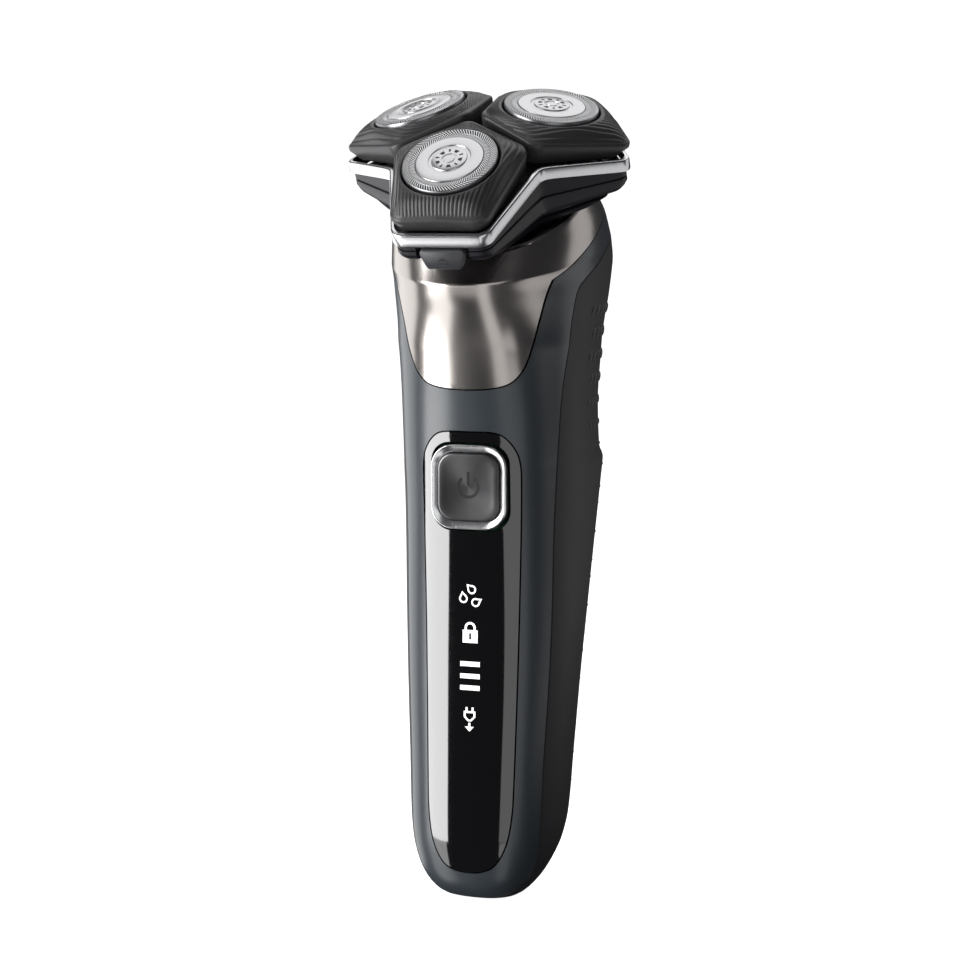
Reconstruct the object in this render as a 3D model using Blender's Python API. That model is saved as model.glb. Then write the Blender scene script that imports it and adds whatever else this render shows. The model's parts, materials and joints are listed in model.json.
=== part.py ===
"""Rotary electric shaver: handle with motor, battery and display, a fold-out trimmer on the back,
and a pull-off head with three tilting, sprung shaving pods.

World frame: metres, +Z up along the lower handle, front (display) towards -Y, origin at the centre
of the charge socket's face under the handle. Lengths below are in millimetres and are turned into
metres when a mesh is made.
"""

import math

import bmesh
import bpy
from mathutils import Matrix, Vector

MM = 0.001
GAP = 0.3                      # clearance between neighbouring pieces

# --- driving dimensions of the head ------------------------------------------------------------
HEAD_TILT = math.radians(27)   # the head leans forward over the display
HEAD_CENTRE = Vector((0, -8.8, 159.2))
HEAD_NORMAL = Vector((0, -math.sin(HEAD_TILT), math.cos(HEAD_TILT)))
POD_AZIMUTHS = {"front": -90, "right": 30, "left": 150}
POD_RADIUS = 16.2              # head centre to the middle of each guard
POD_TILT = math.radians(13)    # each pod leans outwards
GUARD_RADIUS = 9.5             # slotted steel guard of each pod
SPINDLE_RADIUS = 14.8          # the gear shafts stand parallel to the head's own axis

# --- driving dimensions of the handle ----------------------------------------------------------
# Each station is (front y, front z, back y, back z, half width); sections are superellipses.
HANDLE_STATIONS = (
    (-6.0, 0.4, 2.0, 0.4, 4.5),
    (-9.2, 1.3, 5.0, 1.7, 8.4),
    (-11.2, 3.4, 8.6, 4.2, 11.2),
    (-12.3, 6.8, 12.2, 8.4, 13.6),
    (-12.6, 11.6, 15.0, 12.4, 15.2),
    (-12.4, 17.0, 16.9, 17.0, 16.0),
    (-11.8, 30.0, 19.0, 30.0, 16.7),
    (-11.2, 45.0, 21.4, 45.0, 17.5),
    (-10.9, 61.5, 25.8, 61.5, 18.3),
    (-11.0, 74.5, 30.2, 74.5, 18.8),
    (-11.4, 86.5, 34.2, 86.5, 19.3),
    (-11.7, 90.3, 35.2, 90.3, 19.5),
    (-11.9, 92.8, 32.4, 92.8, 19.3),
    (-13.0, 102.5, 31.3, 102.5, 19.4),
    (-14.6, 111.0, 33.4, 112.0, 19.8),
    (-16.2, 117.5, 34.9, 120.5, 20.4),
    (-17.6, 121.5, 36.0, 127.5, 21.1),
    (-19.0, 124.8, 36.0, 133.6, 21.6),
    (-20.0, 127.6, 32.4, 139.6, 21.8),
    (-18.9, 129.8, 26.5, 145.5, 21.4),
    (-17.2, 133.5, 17.9, 151.4, 19.7),
)
SQUARENESS = (2.6, 2.2)        # superellipse power of the lower sections and of the top ones
SQUARE_SPAN = (88.0, 124.0)    # heights between which the sections turn rounder
EGG = 0.2                      # how far back the widest point of the top sections moves
EGG_SPAN = (115.0, 130.0)      # heights between which they turn egg-shaped
SECTION_POINTS = 32
WALL = 1.8

# Side view (y, z) of the joint between front shell and rear grip, from the back down to the foot.
SEAM = (
    (60, 140), (33, 139), (22, 137.6), (14, 134.9), (7, 131.4), (1.5, 128.5), (-1.2, 126.2),
    (-2.1, 122), (-2.9, 114.5), (-4.0, 103.5), (-4.4, 82), (-5.0, 55), (-6.6, 27), (-7.1, 14),
    (-7.3, 6), (-8.6, 3.6), (-9.2, -4),
)
# Front view (x, z) of one half of the metal collar's apron, from the centre line outwards.
COLLAR_HALF = (
    (0, 106.6), (4.3, 106.8), (8.1, 107.6), (10.3, 109.2), (11.8, 111.6), (13.1, 115.4),
    (14.3, 120.4), (15.8, 126.2), (17.3, 129.9), (18.8, 132), (20.4, 134.4), (23, 137), (23, 142),
    (0, 142),
)
COLLAR_BAND = (135.9, 0.42)    # round sides and back it lies above this height at y = 0, this slope
PANEL_HALF = (
    (0, 98.1), (4.2, 98.1), (7.0, 97.4), (9.2, 95.0), (10.3, 91.6), (10.4, 85), (10.0, 62),
    (9.3, 28), (8.9, 19), (7.8, 13.2), (5.6, 9.2), (3.0, 7.7), (0, 7.3),
)

# --- controls ----------------------------------------------------------------------------------
BUTTON_Z = 86.9
BEZEL_HALF = (8.1, 8.8)        # half width, half height of the ring round the power button
BUTTON_HALF = (6.5, 6.8)
BUTTON_FACE_Y = -12.3
BOARD_Y = -6.8                 # front face of the circuit board

# --- trimmer on the back ------------------------------------------------------------------------
TRIMMER_HALF_WIDTH = 9.5
TRIMMER_PIN = (29.9, 97.1)     # y, z of the pin it folds about
TRIMMER_TOP_Z = 120.5
SLIDE_Z = (79.0, 88.0)         # rear latch button, bottom and top
SLIDE_TRAVEL = 2.5             # how far it moves down to let the trimmer out

# --- head levels, heights along the head's axis ---------------------------------------------------
SPLIT = -16.7                  # joint between hair chamber and gear cover
CHAMBER_FLOOR, CHAMBER_RIM = -14.0, -6.2
RING_LOW, RING_TOP = -5.9, -3.3
FRAME_LOW, FRAME_TOP = -7.7, -6.8
HINGE = (24.6, -12.9)          # behind the centre, and height: where the upper half opens
POD_SIDE, POD_APEX, POD_ROUNDING = (-7.1, 14.2), -14.8, 3.2
POD_OUTER = {"front": (13.7, 9.8), "right": (14.4, 11.3), "left": (14.4, 11.3)}
FOOT_REACH = {"front": 13.7, "right": 13.2, "left": 13.2}   # the rear pods overhang their feet
REAR_WIDER, REAR_SHORTER = 2.6, 0.6              # the rear lobes are wider, and shorter
BEZEL_FOOT = -7.3

# --- drive train, along the head's axis (heights below are measured along it) -------------------
MOTOR_RADIUS = 9.5
MOTOR_SPAN = (-59.0, -33.0)
SHAFT_RADIUS = 1.0
GEAR_TEETH = 24
GEAR_HEIGHT = (-16.4, -15.2)

for leftover in list(bpy.data.objects):
    bpy.data.objects.remove(leftover)

shaver = bpy.data.collections.new("rotary_shaver")
cutters = bpy.data.collections.new("cutters")
for group in (shaver, cutters):
    bpy.context.scene.collection.children.link(group)


# --- helpers -----------------------------------------------------------------------------------
def material(name, colour, roughness, metallic=0.0):
    """A Principled material, made once and shared by every piece of that finish."""
    if name in bpy.data.materials:
        return bpy.data.materials[name]
    made = bpy.data.materials.new(name)
    made.use_nodes = True
    shader = made.node_tree.nodes["Principled BSDF"]
    shader.inputs["Base Color"].default_value = (*colour, 1.0)
    shader.inputs["Roughness"].default_value = roughness
    shader.inputs["Metallic"].default_value = metallic
    return made


FINISHES = {
    "slate_shell": ((0.09, 0.115, 0.13), 0.42, 0.0),
    "black_rubber": ((0.028, 0.026, 0.029), 0.7, 0.0),
    "brushed_collar": ((0.42, 0.39, 0.37), 0.35, 1.0),
    "black_gloss": ((0.01, 0.01, 0.011), 0.08, 0.0),
    "chrome": ((0.75, 0.75, 0.76), 0.12, 1.0),
    "dark_metal": ((0.12, 0.12, 0.125), 0.35, 1.0),
    "silver_satin": ((0.62, 0.62, 0.64), 0.28, 1.0),
    "steel": ((0.55, 0.55, 0.56), 0.25, 1.0),
    "bezel_plastic": ((0.045, 0.045, 0.048), 0.5, 0.0),
    "chamber_plastic": ((0.02, 0.02, 0.024), 0.4, 0.0),
    "grey_plastic": ((0.1, 0.1, 0.112), 0.45, 0.0),
    "white_plastic": ((0.7, 0.7, 0.68), 0.45, 0.0),
    "seal_rubber": ((0.05, 0.05, 0.05), 0.8, 0.0),
    "board_green": ((0.02, 0.12, 0.05), 0.5, 0.0),
    "brass": ((0.55, 0.42, 0.2), 0.35, 1.0),
    "cell_sleeve": ((0.06, 0.16, 0.4), 0.4, 0.0),
}


def add_object(name, mesh, finish=None, parent=None, matrix=None):
    """Put a mesh in the scene: a piece when it has a finish, otherwise a cutter."""
    item = bpy.data.objects.new(name, mesh)
    if finish:
        mesh.materials.append(material(finish, *FINISHES[finish]))
        shaver.objects.link(item)
    else:
        cutters.objects.link(item)
        item.hide_render = True
        item.display_type = "WIRE"
    item.parent = parent
    if matrix is not None:
        item.matrix_local = matrix
    return item


def mesh_from(name, build):
    """Run a function that fills a bmesh in millimetres; return the mesh in metres."""
    bm = bmesh.new()
    build(bm)
    bmesh.ops.recalc_face_normals(bm, faces=bm.faces[:])
    bmesh.ops.scale(bm, vec=(MM, MM, MM), verts=bm.verts[:])
    mesh = bpy.data.meshes.new(name)
    bm.to_mesh(mesh)
    bm.free()
    mesh.shade_smooth()
    mesh.set_sharp_from_angle(angle=math.radians(32))
    return mesh


def loft(bm, rings, closed_ends=True):
    """Skin a list of equally long closed rings; a ring loop without ends makes a hollow body."""
    rows = [[bm.verts.new(point) for point in ring] for ring in rings]
    pairs = list(zip(rows, rows[1:]))
    if not closed_ends:
        pairs.append((rows[-1], rows[0]))
    for low, high in pairs:
        for i in range(len(low)):
            j = (i + 1) % len(low)
            bm.faces.new((low[i], low[j], high[j], high[i]))
    if closed_ends:
        bm.faces.new(rows[0])
        bm.faces.new(rows[-1])


def lofted(name, rings, finish=None, parent=None, matrix=None, closed_ends=True):
    mesh = mesh_from(name, lambda bm: loft(bm, rings, closed_ends))
    return add_object(name, mesh, finish, parent, matrix)


def box(name, low, high, finish=None, parent=None, matrix=None, bevel=0.0):
    """A block between two corners, with rounded edges when a bevel width is given."""
    def build(bm):
        bmesh.ops.create_cube(bm, size=1.0)
        size = [h - l for l, h in zip(low, high)]
        middle = [(h + l) / 2 for l, h in zip(low, high)]
        bmesh.ops.scale(bm, vec=size, verts=bm.verts[:])
        bmesh.ops.translate(bm, vec=middle, verts=bm.verts[:])
        if bevel:
            bmesh.ops.bevel(bm, geom=bm.edges[:], offset=bevel, segments=1, affect="EDGES")
    return add_object(name, mesh_from(name, build), finish, parent, matrix)


def cylinder(name, radius, bottom, top, finish=None, parent=None, matrix=None, sides=24, tip=None):
    """A cylinder (or a cone, with a tip radius) standing on the local Z axis."""
    def build(bm):
        bmesh.ops.create_cone(bm, cap_ends=True, segments=sides, radius1=radius,
                              radius2=radius if tip is None else tip, depth=top - bottom)
        bmesh.ops.translate(bm, vec=(0, 0, (top + bottom) / 2), verts=bm.verts[:])
    return add_object(name, mesh_from(name, build), finish, parent, matrix)


def circle(radius, height, sides=24):
    turn = 2 * math.pi / sides
    return [Vector((radius * math.cos(i * turn), radius * math.sin(i * turn), height))
            for i in range(sides)]


def ring_body(name, profile, finish=None, parent=None, matrix=None, sides=24):
    """A turned hollow body: the closed profile is a list of (radius, height)."""
    rings = [circle(radius, height, sides) for radius, height in profile]
    return lofted(name, rings, finish, parent, matrix, closed_ends=False)


def solid_of_revolution(name, profile, finish=None, parent=None, matrix=None, sides=24):
    """A turned solid body: the profile runs from the bottom to the top, both ends capped."""
    rings = [circle(radius, height, sides) for radius, height in profile]
    return lofted(name, rings, finish, parent, matrix)


def mirrored(half):
    """Complete a half outline (running away from the axis) with its mirror image."""
    return list(half) + [(-x, z) for x, z in reversed(half) if x != 0]


def grown(outline, amount):
    """Offset a closed outline outwards by moving each corner along its mean normal."""
    points = [Vector(p) for p in outline]
    area = sum(a.x * b.y - b.x * a.y for a, b in zip(points, points[1:] + points[:1]))
    side = 1 if area > 0 else -1
    result = []
    for i, here in enumerate(points):
        before, after = points[i - 1], points[(i + 1) % len(points)]
        one, two = (here - before).normalized(), (after - here).normalized()
        normal = Vector((one.y + two.y, -one.x - two.x)).normalized() * side
        reach = amount / max(0.5, normal.dot(Vector((one.y, -one.x)) * side))
        result.append(here + normal * reach)
    return [(p.x, p.y) for p in result]


def rounded(corners, radius, steps=4, straight=1):
    """Turn each corner of a closed outline into an arc; each edge between has some equal parts."""
    points = [Vector(c) for c in corners]
    arcs = []
    for i, here in enumerate(points):
        back = (points[i - 1] - here).normalized()
        ahead = (points[(i + 1) % len(points)] - here).normalized()
        half = math.acos(max(-1, min(1, back.dot(ahead)))) / 2
        reach = radius / math.tan(half)
        centre = here + (back + ahead).normalized() * radius / math.sin(half)
        start, end = here + back * reach - centre, here + ahead * reach - centre
        swing = start.angle_signed(end)
        arc = []
        for step in range(steps + 1):
            spoke = start.copy()
            spoke.rotate(Matrix.Rotation(-swing * step / steps, 2))
            arc.append(centre + spoke)
        arcs.append(arc)
    result = []
    for arc, following in zip(arcs, arcs[1:] + arcs[:1]):
        result += arc + [arc[-1].lerp(following[0], k / straight) for k in range(1, straight)]
    return [tuple(point) for point in result]


def prism(name, outline, start, end, axis="y"):
    """A cutter: an outline in (x, z) swept along Y, or in (y, z) swept along X."""
    def place(point, depth):
        if axis == "y":
            return Vector((point[0], depth, point[1]))
        return Vector((depth, point[0], point[1]))
    return lofted(name, [[place(p, start) for p in outline], [place(p, end) for p in outline]])


def cut(item, tool, operation="DIFFERENCE"):
    step = item.modifiers.new(f"{operation.lower()}_{tool.name}", "BOOLEAN")
    step.operation = operation
    step.object = tool
    step.solver = "EXACT"
    return item


# --- frames that pieces hang from ---------------------------------------------------------------
def guide(name, matrix, parent=None):
    empty = bpy.data.objects.new(name, None)
    shaver.objects.link(empty)
    empty.parent = parent
    empty.matrix_local = matrix
    return empty


HEAD_MATRIX = Matrix.Translation(HEAD_CENTRE * MM) @ Matrix.Rotation(HEAD_TILT, 4, "X")
head_axis = guide("head_axis", HEAD_MATRIX)


# --- handle skin --------------------------------------------------------------------------------
def share_of(height, span):
    """How far a height lies into a span, from 0 to 1."""
    return min(1, max(0, (height - span[0]) / (span[1] - span[0])))


def station_ring(station, inset, lift=0.0):
    """One closed section of the handle, moved inwards by the inset."""
    front = Vector((0, station[0], station[1] + lift))
    back = Vector((0, station[2], station[3] + lift))
    along = (back - front).normalized()
    middle = (front + back) / 2
    depth = (back - front).length / 2 - inset
    width = station[4] - inset
    power = SQUARENESS[0] + (SQUARENESS[1] - SQUARENESS[0]) * share_of(station[1], SQUARE_SPAN)
    egg = EGG * share_of(station[1], EGG_SPAN)
    ring = []
    for i in range(SECTION_POINTS):
        angle = 2 * math.pi * i / SECTION_POINTS
        c, s = math.cos(angle), math.sin(angle)
        x = width * math.copysign(abs(c) ** (2 / power), c)
        v = depth * math.copysign(abs(s) ** (2 / power), s)
        v += depth * egg * (x / width) ** 2
        ring.append(middle + Vector((x, 0, 0)) + along * v)
    return ring


def handle_core(name, inset):
    """The handle as a solid, shrunk by the inset and, when shrunk, run on past the rim."""
    rounded_end = 5
    rings = []
    for index, station in enumerate(HANDLE_STATIONS):
        lift = inset * max(0, 1 - index / rounded_end)
        rings.append(station_ring(station, inset, lift))
    if inset:
        rings.append([point + HEAD_NORMAL * 4 for point in rings[-1]])
    return lofted(name, rings)


def skin(name, finish):
    """The handle's hollow wall as a fresh object, to be cut down to one of its pieces."""
    outer = handle_core(name, 0)
    cutters.objects.unlink(outer)
    shaver.objects.link(outer)
    outer.hide_render = False
    outer.display_type = "TEXTURED"
    outer.data.materials.append(material(finish, *FINISHES[finish]))
    return cut(outer, inner_space)


inner_space = handle_core("inner_space", WALL)
SIDE = 30                      # half width of the side-view cutters
FAR = 60                       # a distance clear of the handle to the front and back
TALL = 180                     # a height clear of the head
seam_back = grown(list(SEAM) + [(FAR, -4)], GAP / 2)
seam_front = grown(list(SEAM) + [(-FAR, -4), (-FAR, TALL), (FAR, TALL)], GAP / 2)
behind_seam = prism("behind_seam", seam_back, -SIDE, SIDE, axis="x")
ahead_of_seam = prism("ahead_of_seam", seam_front, -SIDE, SIDE, axis="x")


def collar_region(name, grow):
    """The space that the metal collar fills: a front apron joined to a sloping band."""
    apron = prism(name, grown(mirrored(COLLAR_HALF), grow), -FAR, 0)
    level, slope = COLLAR_BAND
    band = [(y, level - grow + slope * y) for y in (-FAR, FAR)] + [(FAR, TALL), (-FAR, TALL)]
    return cut(apron, prism(name + "_band", band, -SIDE, SIDE, axis="x"), "UNION")


collar_zone = collar_region("collar_zone", 0)
collar_cut = collar_region("collar_cut", GAP)

panel_outline = mirrored(PANEL_HALF)
panel_zone = prism("panel_zone", panel_outline, -FAR, 0)
panel_cut = prism("panel_cut", grown(panel_outline, GAP), -FAR, 0)

front_shell = skin("front_shell", "slate_shell")
for tool in (behind_seam, collar_cut, panel_cut):
    cut(front_shell, tool)

metal_collar = skin("metal_collar", "brushed_collar")
cut(metal_collar, collar_zone, "INTERSECT")

rear_grip = skin("rear_grip", "black_rubber")
for tool in (ahead_of_seam, collar_cut):
    cut(rear_grip, tool)

display_window = skin("display_window", "black_gloss")
cut(display_window, panel_zone, "INTERSECT")


# --- openings in the skin -----------------------------------------------------------------------
def rounded_box_outline(half_width, half_height, centre_z, radius):
    corners = [(-half_width, -half_height), (half_width, -half_height),
               (half_width, half_height), (-half_width, half_height)]
    return [(x, z + centre_z) for x, z in rounded(corners, radius)]


bezel_hole = prism("bezel_hole", rounded_box_outline(*[h + GAP for h in BEZEL_HALF], BUTTON_Z, 4.3),
                   -FAR, 0)
cut(display_window, bezel_hole)

SOCKET_HALF = (4.2, 2.3)
socket_hole = box("socket_hole", (-SOCKET_HALF[0] - GAP, -SOCKET_HALF[1] - GAP, -2),
                  (SOCKET_HALF[0] + GAP, SOCKET_HALF[1] + GAP, 4))
cut(rear_grip, socket_hole)

BAY_HALF = TRIMMER_HALF_WIDTH + 2 * GAP
trimmer_hole = box("trimmer_hole", (-BAY_HALF, 27.4, 93.9), (BAY_HALF, FAR, 124.4))
cut(rear_grip, trimmer_hole)
slide_hole = box("slide_hole", (-4.9, 24, SLIDE_Z[0] - SLIDE_TRAVEL - GAP), (4.9, FAR, SLIDE_Z[1] + GAP))
cut(rear_grip, slide_hole)


# --- controls on the front ----------------------------------------------------------------------
def front_loop(half_width, half_height, radius, y):
    return [Vector((x, y, z)) for x, z in rounded_box_outline(half_width, half_height, BUTTON_Z, radius)]


lofted("button_bezel", [
    front_loop(BEZEL_HALF[0], BEZEL_HALF[1], 4.1, -9.2),
    front_loop(BEZEL_HALF[0], BEZEL_HALF[1], 4.1, -11.6),
    front_loop(BEZEL_HALF[0] - 0.7, BEZEL_HALF[1] - 0.7, 3.6, -12.4),
    front_loop(BUTTON_HALF[0] + GAP, BUTTON_HALF[1] + GAP, 2.9, -12.4),
    front_loop(BUTTON_HALF[0] + GAP, BUTTON_HALF[1] + GAP, 2.9, -9.2),
], "chrome", closed_ends=False)

power_button = lofted("power_button", [
    front_loop(BUTTON_HALF[0], BUTTON_HALF[1], 2.7, -10.4),
    front_loop(BUTTON_HALF[0], BUTTON_HALF[1], 2.7, -11.9),
    front_loop(BUTTON_HALF[0] - 0.5, BUTTON_HALF[1] - 0.5, 2.3, BUTTON_FACE_Y),
], "dark_metal")
cut(power_button, box("button_stem", (-1.5, -11, BUTTON_Z - 1.5), (1.5, -8.9, BUTTON_Z + 1.5)), "UNION")

button_seal = box("button_seal", (-6.6, -8.6, BUTTON_Z - 6.8), (6.6, -7.9, BUTTON_Z + 6.8), "seal_rubber")
cut(button_seal, box("seal_hole", (-3.6, -12, BUTTON_Z - 3.6), (3.6, 0, BUTTON_Z + 3.6)))

tact_switch = box("tact_switch", (-3, BOARD_Y - 1.3, BUTTON_Z - 3), (3, BOARD_Y - GAP, BUTTON_Z + 3),
                  "chamber_plastic", bevel=0.2)
circuit_board = box("circuit_board", (-9.6, BOARD_Y, 16), (9.6, BOARD_Y + 1, 98), "board_green")
box("display_light_guide", (-4, -8.6, 36), (4, BOARD_Y - GAP, 68), "white_plastic", bevel=0.3)


# --- inner frame, cell and motor ----------------------------------------------------------------
inner_chassis = box("inner_chassis", (-9.4, -5.3, 13), (9.4, -3.6, 114), "grey_plastic")
for name, low, high in (("shelf_low", (-8, -4, 13), (8, 12, 15)),
                        ("shelf_high", (-8, -4, 67.4), (8, 13, 69.4)),
                        ("cradle_foot", (-4, -4.5, 108), (4, 2.5, 116))):
    cut(inner_chassis, box(name, low, high), "UNION")
cradle = ring_body("cradle", [(MOTOR_RADIUS + 2.4, -46), (MOTOR_RADIUS + 2.4, -40),
                              (MOTOR_RADIUS + GAP, -40), (MOTOR_RADIUS + GAP, -46)], parent=head_axis)
cut(inner_chassis, cradle, "UNION")

CELL = Matrix.Translation(Vector((0, 4.4, 0)) * MM)
solid_of_revolution("battery_cell", [(6.6, 15.9), (7.0, 16.4), (7.0, 65.0), (6.6, 65.4), (2.6, 65.4),
                                     (2.6, 66.1)], "cell_sleeve", matrix=CELL)
box("battery_tab_low", (-2.5, 0, 15.2), (2.5, 9, 15.6), "brass")
box("battery_tab_high", (-2.5, 0, 66.5), (2.5, 9, 67.0), "brass")
SCREW_X, SCREW_Z = 6.5, 74.0
for side, x in (("left", -SCREW_X), ("right", SCREW_X)):
    place = Matrix.Translation(Vector((x, -5.6, SCREW_Z)) * MM) @ Matrix.Rotation(math.radians(90), 4, "X")
    solid_of_revolution(f"chassis_screw_{side}", [(1.7, 0), (1.7, 0.3), (1.2, 0.8)], "steel",
                        matrix=place, sides=12)
    cut(circuit_board, box(f"screw_room_{side}", (x - 2.1, -8, SCREW_Z - 2.1),
                           (x + 2.1, -5.6, SCREW_Z + 2.1)))

bottom, top = MOTOR_SPAN
ring_body("motor_can", [(1.5, top), (MOTOR_RADIUS, top), (MOTOR_RADIUS, bottom), (8.5, bottom),
                        (8.5, top - 1), (1.5, top - 1)], "steel", head_axis)
ring_body("motor_end_cap", [(1.4, bottom - 1.2), (8.1, bottom - 1.2), (8.1, bottom + 0.6),
                            (1.4, bottom + 0.6)], "chamber_plastic", head_axis)
solid_of_revolution("motor_rotor", [
    (SHAFT_RADIUS, bottom - 1.5), (SHAFT_RADIUS, bottom + 3), (7.6, bottom + 3), (7.6, top - 4),
    (SHAFT_RADIUS, top - 4), (SHAFT_RADIUS, -18.6)], "brass", head_axis, sides=16)
ring_body("drive_coupling", [(2.6, -26.5), (2.6, -17.4), (1.35, -17.4), (1.35, -26.5)],
          "white_plastic", head_axis, sides=6)
ring_body("shaft_seal", [(5.2, -25.2), (5.2, -23.6), (3.0, -23.6), (3.0, -25.2)], "seal_rubber",
          head_axis, sides=20)

rim_ring = station_ring(HANDLE_STATIONS[-1], WALL + GAP)
neck_deck = lofted("neck_deck", [[point - HEAD_NORMAL * depth for point in rim_ring]
                                 for depth in (4.1, 2.3)], "chamber_plastic")
cut(neck_deck, cylinder("deck_bore", 3.0, -30, -15, parent=head_axis))


# --- charge socket at the bottom ----------------------------------------------------------------
charge_socket = box("charge_socket", (-SOCKET_HALF[0], -SOCKET_HALF[1], 0),
                    (SOCKET_HALF[0], SOCKET_HALF[1], 7), "chamber_plastic")
for side, x in (("left", -2.4), ("right", 2.4)):
    spot = Matrix.Translation(Vector((x, 0, 0)) * MM)
    cut(charge_socket, cylinder(f"pin_hole_{side}", 0.95, -1, 8, matrix=spot, sides=12))
    solid_of_revolution(f"charge_pin_{side}", [(0.35, 0.9), (0.55, 1.3), (0.55, 9)], "brass",
                        matrix=spot, sides=10)
socket_seal = box("socket_seal", (-5.8, -3.7, 4.8), (5.8, 3.7, 5.8), "seal_rubber")
cut(socket_seal, box("socket_seal_hole", (-4.5, -2.6, 3), (4.5, 2.6, 8)))


# --- trimmer on the back ----------------------------------------------------------------------------
def side_profile(name, outline, half_width, finish):
    rings = [[Vector((x, y, z)) for y, z in outline] for x in (-half_width, half_width)]
    return lofted(name, rings, finish)


box("trimmer_bay", (-TRIMMER_HALF_WIDTH, 26.7, 91.5), (TRIMMER_HALF_WIDTH, 27.2, 124.6),
    "chamber_plastic")
trimmer_housing = side_profile("trimmer_housing", (
    (28.4, 94.9), (31.4, 94.9), (30.9, 102.5), (32.3, 111), (33.2, 117), (33.2, TRIMMER_TOP_Z),
    (30.0, TRIMMER_TOP_Z), (28.0, 112)), TRIMMER_HALF_WIDTH, "grey_plastic")
PIN_PLACE = (Matrix.Translation(Vector((0, *TRIMMER_PIN)) * MM)
             @ Matrix.Rotation(math.radians(90), 4, "Y"))
cut(trimmer_housing, cylinder("pin_bore", 1.15, -12, 12, matrix=PIN_PLACE, sides=16))
cylinder("trimmer_hinge_pin", 0.8, -10.0, 10.0, "steel", matrix=PIN_PLACE, sides=12)


def comb_plate(name, y, depth, teeth, pitch, root, tip, foot, finish):
    """A toothed steel plate standing in the XZ plane."""
    width = pitch * (teeth - 0.45) / 2
    outline = [(-width, foot), (width, foot)]
    for i in reversed(range(teeth)):
        right = -width + pitch * i + 0.55 * pitch
        left = -width + pitch * i
        outline += [(right, root), (right, tip), (left, tip), (left, root)]
    outline.insert(0, outline.pop())
    outline = [p for i, p in enumerate(outline) if p != outline[i - 1]]
    return lofted(name, [[Vector((x, y, z)) for x, z in outline],
                         [Vector((x, y + depth, z)) for x, z in outline]], finish)


comb_plate("trimmer_comb", 34.2, 0.5, 15, 1.25, 121.6, 123.6, 113.0, "steel")
comb_plate("trimmer_cutter", 33.5, 0.4, 13, 1.25, 121.2, 122.9, 118.0, "dark_metal")
side_profile("trimmer_slide", ((29.5, SLIDE_Z[0]), (32.4, SLIDE_Z[0]), (35.0, SLIDE_Z[1]),
                               (29.5, SLIDE_Z[1])), 4.5, "grey_plastic")


# --- head: outlines shared by the base, the ring and the frame ----------------------------------
LOBE_DIRECTIONS = [Vector((math.cos(math.radians(a)), math.sin(math.radians(a))))
                   for a in POD_AZIMUTHS.values()]
ARCH = math.tan(POD_TILT)


def lobed(reach, half_width, waist, radius=3.0):
    """Three-lobed outline: flat lobe ends at the reach, joined by shallow waists."""
    corners = []
    for label, azimuth in POD_AZIMUTHS.items():
        rear = 0 if label == "front" else 1
        end, half = reach - rear * REAR_SHORTER, half_width + rear * REAR_WIDER
        turn = Matrix.Rotation(math.radians(azimuth), 2)
        corners += [tuple(turn @ Vector((end, -half))), tuple(turn @ Vector((end, half)))]
        between = math.radians(azimuth + 60)
        corners.append((waist * math.cos(between), waist * math.sin(between)))
    return rounded(corners, radius, steps=2, straight=2)


def arched(outline, level):
    """Lift an outline so that it dips towards each lobe as the leaning pods do."""
    return [Vector((x, y, level - ARCH * max(Vector((x, y)).dot(lobe) for lobe in LOBE_DIRECTIONS)))
            for x, y in outline]


def level_ring(outline, height):
    return [Vector((x, y, height)) for x, y in outline]


def round_ring(outline, radius, height):
    """A circle whose points face those of an outline."""
    return [Vector((*(Vector(p).normalized() * radius), height)) for p in outline]


# --- head base: hair chamber, gear cover, release button ----------------------------------------
low_outline = lobed(24.0, 8.0, 16.4)
neck_outline = lobed(20.5, 8.4, 15.8)
gear_cover = lofted("gear_cover", [
    level_ring(low_outline, SPLIT - GAP), level_ring(neck_outline, -18.2),
    round_ring(neck_outline, 15.0, -18.4), round_ring(neck_outline, 14.6, -20.9),
], "chamber_plastic", head_axis)
cut(gear_cover, cylinder("hub_bore", 4.3, -25, -10, parent=head_axis))

wall_outline = lobed(28.0, 9.2, 17.6)
pocket_outline = lobed(24.2, 6.6, 15.4)
hair_chamber = lofted("hair_chamber", [
    level_ring(low_outline, SPLIT), level_ring(lobed(27.2, 9.0, 17.1), -15.9),
    level_ring(wall_outline, -14.6), arched(wall_outline, CHAMBER_RIM),
    arched(pocket_outline, CHAMBER_RIM), level_ring(pocket_outline, CHAMBER_FLOOR),
], "chamber_plastic", head_axis)


def spindle_place(azimuth):
    angle = math.radians(azimuth)
    return Matrix.Translation(Vector((SPINDLE_RADIUS * math.cos(angle), SPINDLE_RADIUS * math.sin(angle), 0))
                              * MM)


GEAR_POCKET = 8.1
cut(hair_chamber, cylinder("central_pocket", GEAR_POCKET, -20, -14.9, parent=head_axis))
for label, azimuth in POD_AZIMUTHS.items():
    spot = spindle_place(azimuth)
    cut(hair_chamber, cylinder(f"gear_pocket_{label}", GEAR_POCKET, -20, -14.9, None, head_axis, spot))
    cut(hair_chamber, cylinder(f"post_bore_{label}", 1.9, -16, -12, None, head_axis, spot, 16))
cut(hair_chamber, box("tab_notch", (-5.4, -32, -20), (5.4, -25.4, -12.9), parent=head_axis))
box("release_button", (-5.0, -28.5, -17.4), (5.0, -26.6, -13.2), "grey_plastic", head_axis, bevel=0.4)

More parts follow.
